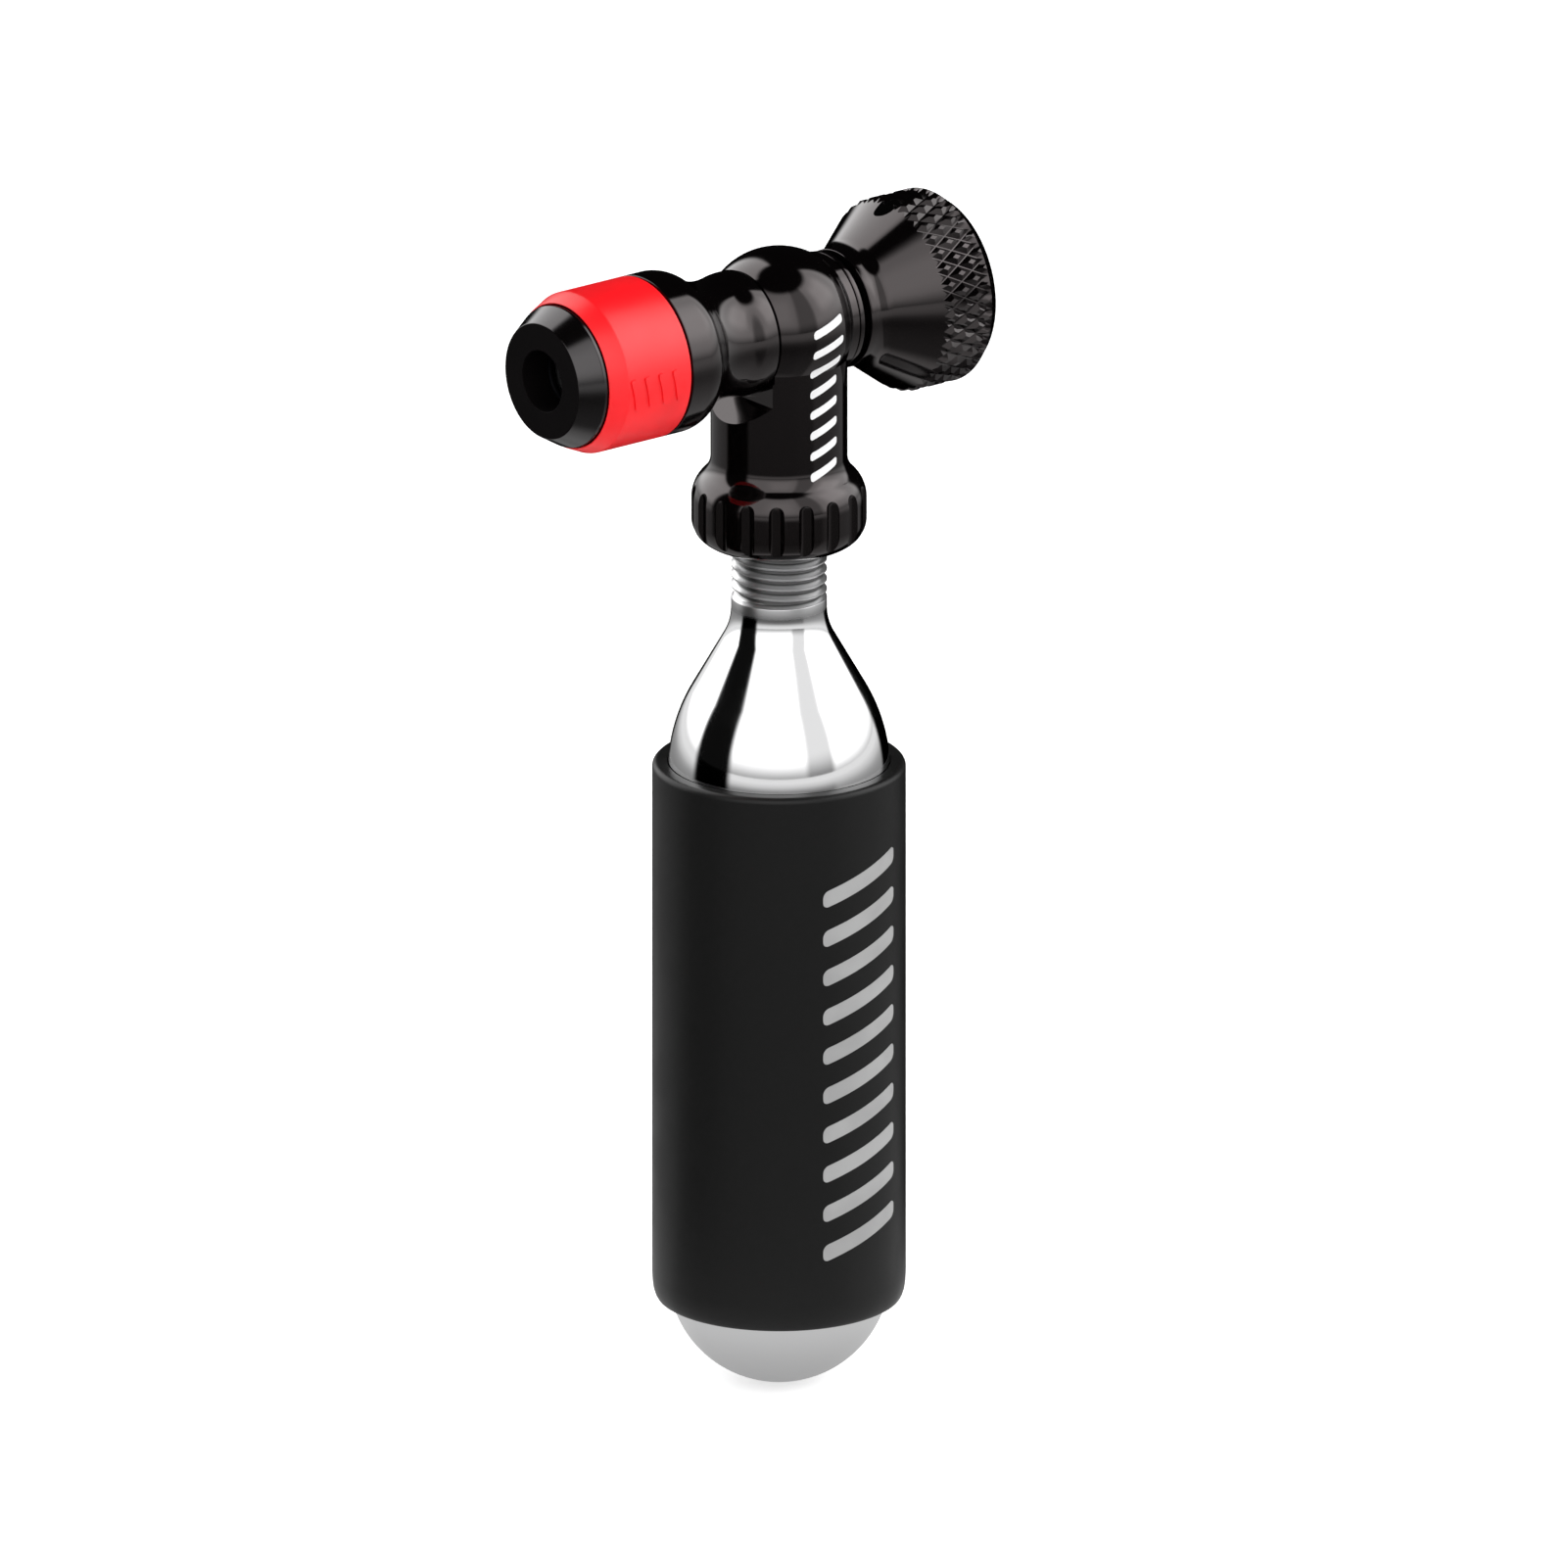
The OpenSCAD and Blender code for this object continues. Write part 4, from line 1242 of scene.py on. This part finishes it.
@dataclass
class BarMark:
    """Row of plain slanted bars that lies on a round surface, as a print or as a raised mark.

    Attributes:
        name: the piece's name.
        carrier: name of the piece that carries the mark.
        body: CAD body that it moves with.
        finish: its finish.
        axis: axis of the round surface.
        middle: middle of the row, along the axis, in millimetres.
        angle: middle of the row, round the axis, in degrees.
        radius: rough radius of the surface there.
        bar: length and width of each bar.
        slant: how far each bar's two ends are set apart, in the row's direction.
        count: number of bars.
        pitch: distance from bar to bar.
        thick: height of the bars above the surface.
        step: greatest size of a facet across a bar's length.
        curved: whether the surface also curves along the axis.
        corner: size of the rounded corners, as a share of a bar's width.
        lift: gap between the surface and the bars.
        outside: radius from which the surface is looked for.
    """

    name: str
    carrier: str
    body: str
    finish: Finish
    axis: Axis
    middle: float
    angle: float
    radius: float
    bar: Point
    slant: float
    count: int = 1
    pitch: float = 0.0
    thick: float = 0.03
    step: float = 0.4
    curved: bool = False
    corner: float = 0.36
    lift: float = 0.01
    outside: float = 20.0

    def flat(self) -> BMesh:
        """Draws the bars flat: x along the row, y along each bar, round the surface.

        Returns:
            The flat bars, in millimetres.
        """
        bm = bmesh.new()
        length, width = self.bar
        for i in range(self.count):
            shift = (i - (self.count - 1) / 2) * self.pitch
            grid = bmesh.ops.create_grid(bm, x_segments=1, y_segments=1, size=0.5)["verts"]
            bmesh.ops.scale(bm, vec=(width, length, 1), verts=grid)
            for vert in grid:
                vert.co.x += shift + self.slant * vert.co.y / length
        bmesh.ops.bevel(bm, geom=bm.verts[:], offset=self.corner * width, segments=4, profile=0.5,
                        affect="VERTICES", material=-1)
        self.cut_across(bm, Vector((0, 1, 0)), length)
        if self.curved:
            whole = (self.count - 1) * self.pitch + width + abs(self.slant)
            self.cut_across(bm, Vector((1, 0, 0)), whole)
        return bm

    def cut_across(self, bm: BMesh, way: Vector, length: float) -> None:
        """Cuts the flat bars into short cells, so that they can bend.

        Args:
            bm: the flat bars.
            way: direction in which the cells follow each other.
            length: length to cut, half to each side of the middle.
        """
        cells = math.ceil(length / self.step)
        for k in range(1, cells):
            bmesh.ops.bisect_plane(bm, geom=everything(bm), plane_no=way,
                                   plane_co=way * ((k / cells - 0.5) * length))

    def build(self) -> None:
        """Wraps the bars round the surface and makes the piece."""
        carrier = bpy.data.objects[self.carrier]
        surface = BVHTree.FromObject(carrier, bpy.context.evaluated_depsgraph_get())
        bm = self.flat()
        for vert in bm.verts:
            along = self.middle + vert.co.x
            angle = self.angle + math.degrees(vert.co.y / self.radius)
            inner, outer = (self.axis.place(along, r, angle) * MM for r in (0.0, self.outside))
            spot, normal, _, _ = surface.ray_cast(outer, (inner - outer).normalized())
            vert.co = (spot / MM) + normal * self.lift
        bmesh.ops.recalc_face_normals(bm, faces=bm.faces[:])
        middle = self.axis.place(self.middle, 0.0)
        if sum((f.calc_center_median() - middle).dot(f.normal) for f in bm.faces) < 0:
            bmesh.ops.reverse_faces(bm, faces=bm.faces[:])
        bmesh.ops.solidify(bm, geom=bm.faces[:], thickness=-self.thick)
        bmesh.ops.recalc_face_normals(bm, faces=bm.faces[:])
        hand_over(bm, self.name, self.body, [self.finish])


MARKS = (
    BarMark("sleeve_print", "insulating_sleeve", "sleeve", GREY_PRINT, Axis.COLUMN, middle=-73.5,
            angle=-86.3, radius=12.6, bar=(9.6, 1.7), slant=3.0, count=10, pitch=4.1),
    BarMark("head_print", "valve_head", "head", WHITE_PRINT, Axis.COLUMN, middle=-6.2,
            angle=-86.6, radius=6.85, bar=(3.5, 0.85), slant=1.2, count=8, pitch=2.15, curved=True),
    BarMark("collar_bars", "red_collar", "head", RED, Axis.HEAD, middle=8.2,
            angle=94.0, radius=8.2, bar=(3.4, 0.85), slant=0.8, count=4, pitch=1.75, thick=0.14),
    # A single matte black patch on the knob's flare.
    BarMark("knob_index", "control_knob", "knob", DARK_PATCH_BLACK, Axis.HEAD, middle=43.65,
            angle=1.0, radius=9.4, bar=(2.1, 2.5), slant=0.6, step=0.12, curved=True),
)


class Innards:
    """The small pieces inside, which keep their CAD shapes."""

    FINISHES: dict[Finish, tuple[str, ...]] = {
        DARK_SPRING_STEEL: ("grip_ring",),
        STEEL: ("plunger_spring", "piercing_pin", "knob_screw", "spindle", "cartridge_cap"),
        RUBBER: ("valve_seal", "chuck_o_ring", "gland_o_ring", "spindle_o_ring", "cartridge_seal"),
        BRASS: ("seal_washer", "plunger", "pin_holder"),
        NYLON: ("valve_seat",),
    }

    def build(self) -> None:
        """Gives each inner node its material."""
        for finish, names in self.FINISHES.items():
            for name in names:
                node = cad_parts[name]
                if not node.material_slots:
                    node.data.materials.append(finish.material())
                for slot in node.material_slots:
                    slot.material = finish.material()
                LOG.info("%s: %s", name, finish.name)


@dataclass(frozen=True)
class Softbox:
    """Soft light in the world round the object, placed as seen from the object.

    Attributes:
        left: its left edge, in degrees to the right of the camera.
        right: its right edge, in the same way.
        low: its lower edge, in degrees above the table.
        high: its upper edge, in the same way.
        brightness: its brightness, where 1 is white.
        soft: how far its side and upper edges fade, in degrees.
        fade: how far its lower edge fades, in degrees.
        floor: share of the floor's shade that reflections near the object show below it.
    """

    left: float
    right: float
    low: float
    high: float
    brightness: float
    soft: float = 8.0
    fade: float = 22.0
    floor: float = 0.0

    def mask(self, bench: Bench, azimuth: Socket, rise: Socket | None) -> Socket:
        """Adds the mask of the directions that the box fills.

        Args:
            bench: the node tree.
            azimuth: a direction's azimuth, in degrees to the right of the camera.
            rise: its elevation in degrees, or None for the middle of the box.

        Returns:
            The socket of the mask.
        """
        feeds: Feeds = {"Left": self.left, "Right": self.right, "Low": self.low, "High": self.high,
                        "Soft": self.soft, "Fade": self.fade, "Azimuth": azimuth,
                        "Elevation": (self.low + self.high) / 2 if rise is None else rise}
        return bench.add("Group", feeds, node_tree=WindowGroup().tree()).outputs["Mask"]


@dataclass(frozen=True)
class Lamp:
    """Round soft lamp that adds to the light on the object and doesn't show in its reflections.

    Attributes:
        name: the lamp's name.
        azimuth: degrees to the right of the camera.
        elevation: degrees above the table.
        width: how wide it looks, in degrees.
        brightness: its brightness, where 1 is white.
        distance: its distance, in metres.
    """

    name: str
    azimuth: float
    elevation: float
    width: float
    brightness: float
    distance: float = 1.2

    def hang(self, target: Vector, camera_azimuth: float) -> None:
        """Hangs the lamp.

        Args:
            target: point that it faces, in metres.
            camera_azimuth: the camera's own azimuth, in degrees.
        """
        way = outwards(camera_azimuth + self.azimuth, self.elevation)
        data = bpy.data.lights.new(self.name, "AREA")
        data.shape = "DISK"
        data.size = 2 * self.distance * math.tan(math.radians(self.width / 2))
        data.energy = self.brightness * math.pi ** 2 * data.size ** 2 / 4
        lamp = bpy.data.objects.new(self.name, data)
        lamp.location = target + way * self.distance
        lamp.rotation_euler = way.to_track_quat("Z", "Y").to_euler()
        lamp.visible_glossy = False
        bpy.context.scene.collection.objects.link(lamp)


def outwards(azimuth: float, elevation: float) -> Vector:
    """Gives the direction from the object to a place round it.

    Args:
        azimuth: degrees round the object, from its front at -Y towards +X.
        elevation: degrees above the table.

    Returns:
        The unit vector.
    """
    a, e = math.radians(azimuth), math.radians(elevation)
    return Vector((math.sin(a) * math.cos(e), -math.cos(a) * math.cos(e), math.sin(e)))


def grey(value: float) -> tuple[float, float, float, float]:
    """Gives the opaque grey of a brightness."""
    return (value, value, value, 1)


@dataclass
class Studio:
    """Pale floor, soft light all round, and the camera.

    Attributes:
        azimuth: the camera's azimuth, in degrees.
        elevation: its elevation, in degrees.
        scale: width of the picture, in millimetres.
        crossing: where the head's and the column's axes cross in the picture, in pixels.
        picture: width of the picture, in pixels.
        distance: distance of the camera, in metres.
        lamp_height: height of the point that the lamps face, in millimetres.
        dark: brightness of the world between the soft boxes.
        boxes: the soft boxes in the world.
        lamps: the lamps.
        floor_gap: gap between the object and the floor, in millimetres.
        floor_r: radius of the floor, in metres.
        paper: how light the floor's paper is.
        glow: light that the paper adds to the eye.
        shades: shades of the floor in reflections, each with its distance in metres.
        under: distances between which the light under the object gives way to the boxes.
        beyond: distances between which the boxes' near light gives way to their far light.
    """

    azimuth: float = -38.45
    elevation: float = 18.3
    scale: float = 155.4
    crossing: Point = (795.4, 329.0)
    picture: float = 1601.0
    distance: float = 0.9
    lamp_height: float = -30.0
    dark: float = 0.004
    boxes: tuple[Softbox, ...] = (
        Softbox(-53, 30, 3, 61, 1.6, floor=0.25),
        Softbox(30, 60, 3, 60, 0.88, floor=0.28),
        Softbox(60, 134, 2, 60, 2.15, floor=0.7),
        Softbox(-159, -97, 2, 63, 2.6, floor=0.65),
        Softbox(74, 114, 20, 52, 1.3, 18, 18),
        Softbox(-16, 22, 14, 50, 0.45, 22, 20),
    )
    lamps: tuple[Lamp, ...] = (Lamp("key_lamp", 60, 48, 40, 0.5),)
    floor_gap: float = 0.05
    floor_r: float = 4.0
    paper: float = 0.8
    glow: float = 0.5
    shades: tuple[Point, ...] = ((0.006, 0.5), (0.02, 0.9), (0.05, 0.75), (0.12, 0.6),
                                 (0.2, 0.38), (0.3, 0.34), (0.5, 0.6), (1.0, 0.9))
    under: Point = (0.02, 0.06)
    beyond: Point = (0.22, 0.65)

    @property
    def foot(self) -> Vector:
        """Point of the column's axis at the object's lowest height, in metres."""
        return Vector((Axis.COLUMN.centre.x * MM, 0, CAD_BOX[0][2]))

    def camera(self) -> None:
        """Places the camera, without perspective."""
        turn, back = math.radians(self.azimuth), outwards(self.azimuth, self.elevation)
        right = Vector((math.cos(turn), math.sin(turn), 0))
        up = back.cross(right)
        per_mm = self.picture / self.scale
        dx = (self.crossing[0] - self.picture / 2) / per_mm
        dy = (self.picture / 2 - self.crossing[1]) / per_mm
        target = (Axis.COLUMN.centre - dx * right - dy * up) * MM
        data = bpy.data.cameras.new("camera")
        data.type = "ORTHO"
        data.ortho_scale = self.scale * MM
        data.clip_start, data.clip_end = 0.01, 20
        camera = bpy.data.objects.new("camera", data)
        camera.matrix_world = (Matrix.Translation(target + back * self.distance)
                               @ Matrix((right, up, back)).transposed().to_4x4())
        bpy.context.scene.collection.objects.link(camera)
        bpy.context.scene.camera = camera

    def azimuth_of(self, bench: Bench, way: Socket) -> tuple[Socket, Socket]:
        """Adds the nodes that tell where a direction points.

        Args:
            bench: the node tree.
            way: the direction.

        Returns:
            Its azimuth, in degrees to the right of the camera, and its upward part.
        """
        feeds = {"Angle": -math.radians(self.azimuth), "Vector": way}
        turned = bench.add("VectorRotate", feeds, rotation_type="Z_AXIS")
        parts = bench.add("SeparateXYZ", {0: turned.outputs[0]}).outputs
        nearer = bench.math("MULTIPLY", parts["Y"], -1.0)
        angle = bench.math("ARCTAN2", parts["X"], nearer)
        return bench.math("MULTIPLY", angle, math.degrees(1)), parts["Z"]

    def windows(self, bench: Bench, azimuth: Socket, rise: Socket | None,
                weights: dict[Softbox, float]) -> Socket:
        """Adds up the soft boxes that lie in a direction.

        Args:
            bench: the node tree.
            azimuth: the direction's azimuth, in degrees to the right of the camera.
            rise: its elevation in degrees, or None for the middle of each box.
            weights: the boxes and their brightness.

        Returns:
            The socket of the sum.
        """
        total = None
        for box, weight in weights.items():
            light = bench.math("MULTIPLY", box.mask(bench, azimuth, rise), weight)
            total = light if total is None else bench.math("ADD", total, light)
        return total

    def world(self) -> None:
        """Fills the world with the soft boxes, white only to the eye."""
        world = bpy.data.worlds.new("studio")
        world.use_nodes = True
        bench = Bench(world.node_tree)
        azimuth, upward = self.azimuth_of(bench, bench.add("TexCoord").outputs["Generated"])
        rise = bench.math("MULTIPLY", bench.math("ARCSINE", upward), math.degrees(1))
        light = self.windows(bench, azimuth, rise, {box: box.brightness for box in self.boxes})
        seen = bench.add("LightPath").outputs["Is Camera Ray"]
        strength = bench.math("MAXIMUM", bench.math("ADD", light, self.dark), seen)
        bench.feed(world.node_tree.nodes["Background"], {"Color": grey(1), "Strength": strength})
        bpy.context.scene.world = world

    def floor_material(self) -> bpy.types.Material:
        """Builds the floor's material: pale paper to the eye, and shaded in reflections.

        Returns:
            The material.
        """
        material = bpy.data.materials.new("pale_floor")
        material.use_nodes = True
        nodes = material.node_tree.nodes
        nodes.remove(nodes["Principled BSDF"])
        bench = Bench(material.node_tree)
        path = bench.add("LightPath").outputs
        ends = {0: bench.add("TexCoord").outputs["Object"], 1: self.foot}
        offset = bench.add("VectorMath", ends, operation="SUBTRACT").outputs["Vector"]
        reach = bench.add("VectorMath", {0: offset}, operation="LENGTH").outputs["Value"]
        azimuth, _ = self.azimuth_of(bench, offset)
        lit = [box for box in self.boxes if box.floor]
        near = self.windows(bench, azimuth, None, {box: box.floor for box in lit})
        far = self.windows(bench, azimuth, None, {box: 1.0 for box in lit})
        around = bench.mix(bench.remap(reach, self.beyond), near, far)
        around = bench.mix(bench.remap(reach, self.under), 1.0, around)
        shade = bench.add("ValToRGB", {"Fac": reach})
        ramp = shade.color_ramp
        ramp.interpolation = "B_SPLINE"
        while len(ramp.elements) < len(self.shades):
            ramp.elements.new(0.5)
        for element, (spot, value) in zip(ramp.elements, self.shades):
            element.position = spot
            element.color = grey(value)
        glow = bench.math("MULTIPLY", path["Is Camera Ray"], self.glow)
        mirror = bench.add("Emission", {"Color": shade.outputs["Color"], "Strength": around})
        plain = bench.add("AddShader", {
            0: bench.add("Emission", {"Strength": glow}).outputs[0],
            1: bench.add("BsdfDiffuse", {"Color": grey(self.paper)}).outputs[0]})
        mirrored = bench.math("MAXIMUM", path["Is Glossy Ray"], path["Is Transmission Ray"])
        both = bench.add("MixShader", {"Fac": mirrored, 1: plain.outputs[0], 2: mirror.outputs[0]})
        bench.feed(nodes["Material Output"], {"Surface": both.outputs[0]})
        return material

    def floor(self) -> None:
        """Lays the round floor."""
        bm = bmesh.new()
        bmesh.ops.create_circle(bm, cap_ends=True, radius=self.floor_r, segments=96)
        drop = Vector((0, 0, self.floor_gap * MM))
        bmesh.ops.translate(bm, vec=self.foot - drop, verts=bm.verts[:])
        floor = new_object(bm, "floor", 1.0)
        floor.data.materials.append(self.floor_material())

    def build(self) -> None:
        """Sets up the studio."""
        bpy.context.scene.view_settings.view_transform = "Standard"
        self.world()
        for lamp in self.lamps:
            lamp.hang(Axis.COLUMN.place(self.lamp_height, 0.0) * MM, self.azimuth)
        self.floor()
        self.camera()


def main() -> None:
    """Builds the inflator's pieces, their marks and the studio."""
    logging.basicConfig(level=logging.INFO, format="%(name)s %(message)s")
    for assembly in (Chuck(), Head(), Knob(), Cartridge(), *MARKS, Innards(), Studio()):
        assembly.build()


if __name__ == "__main__":
    main()
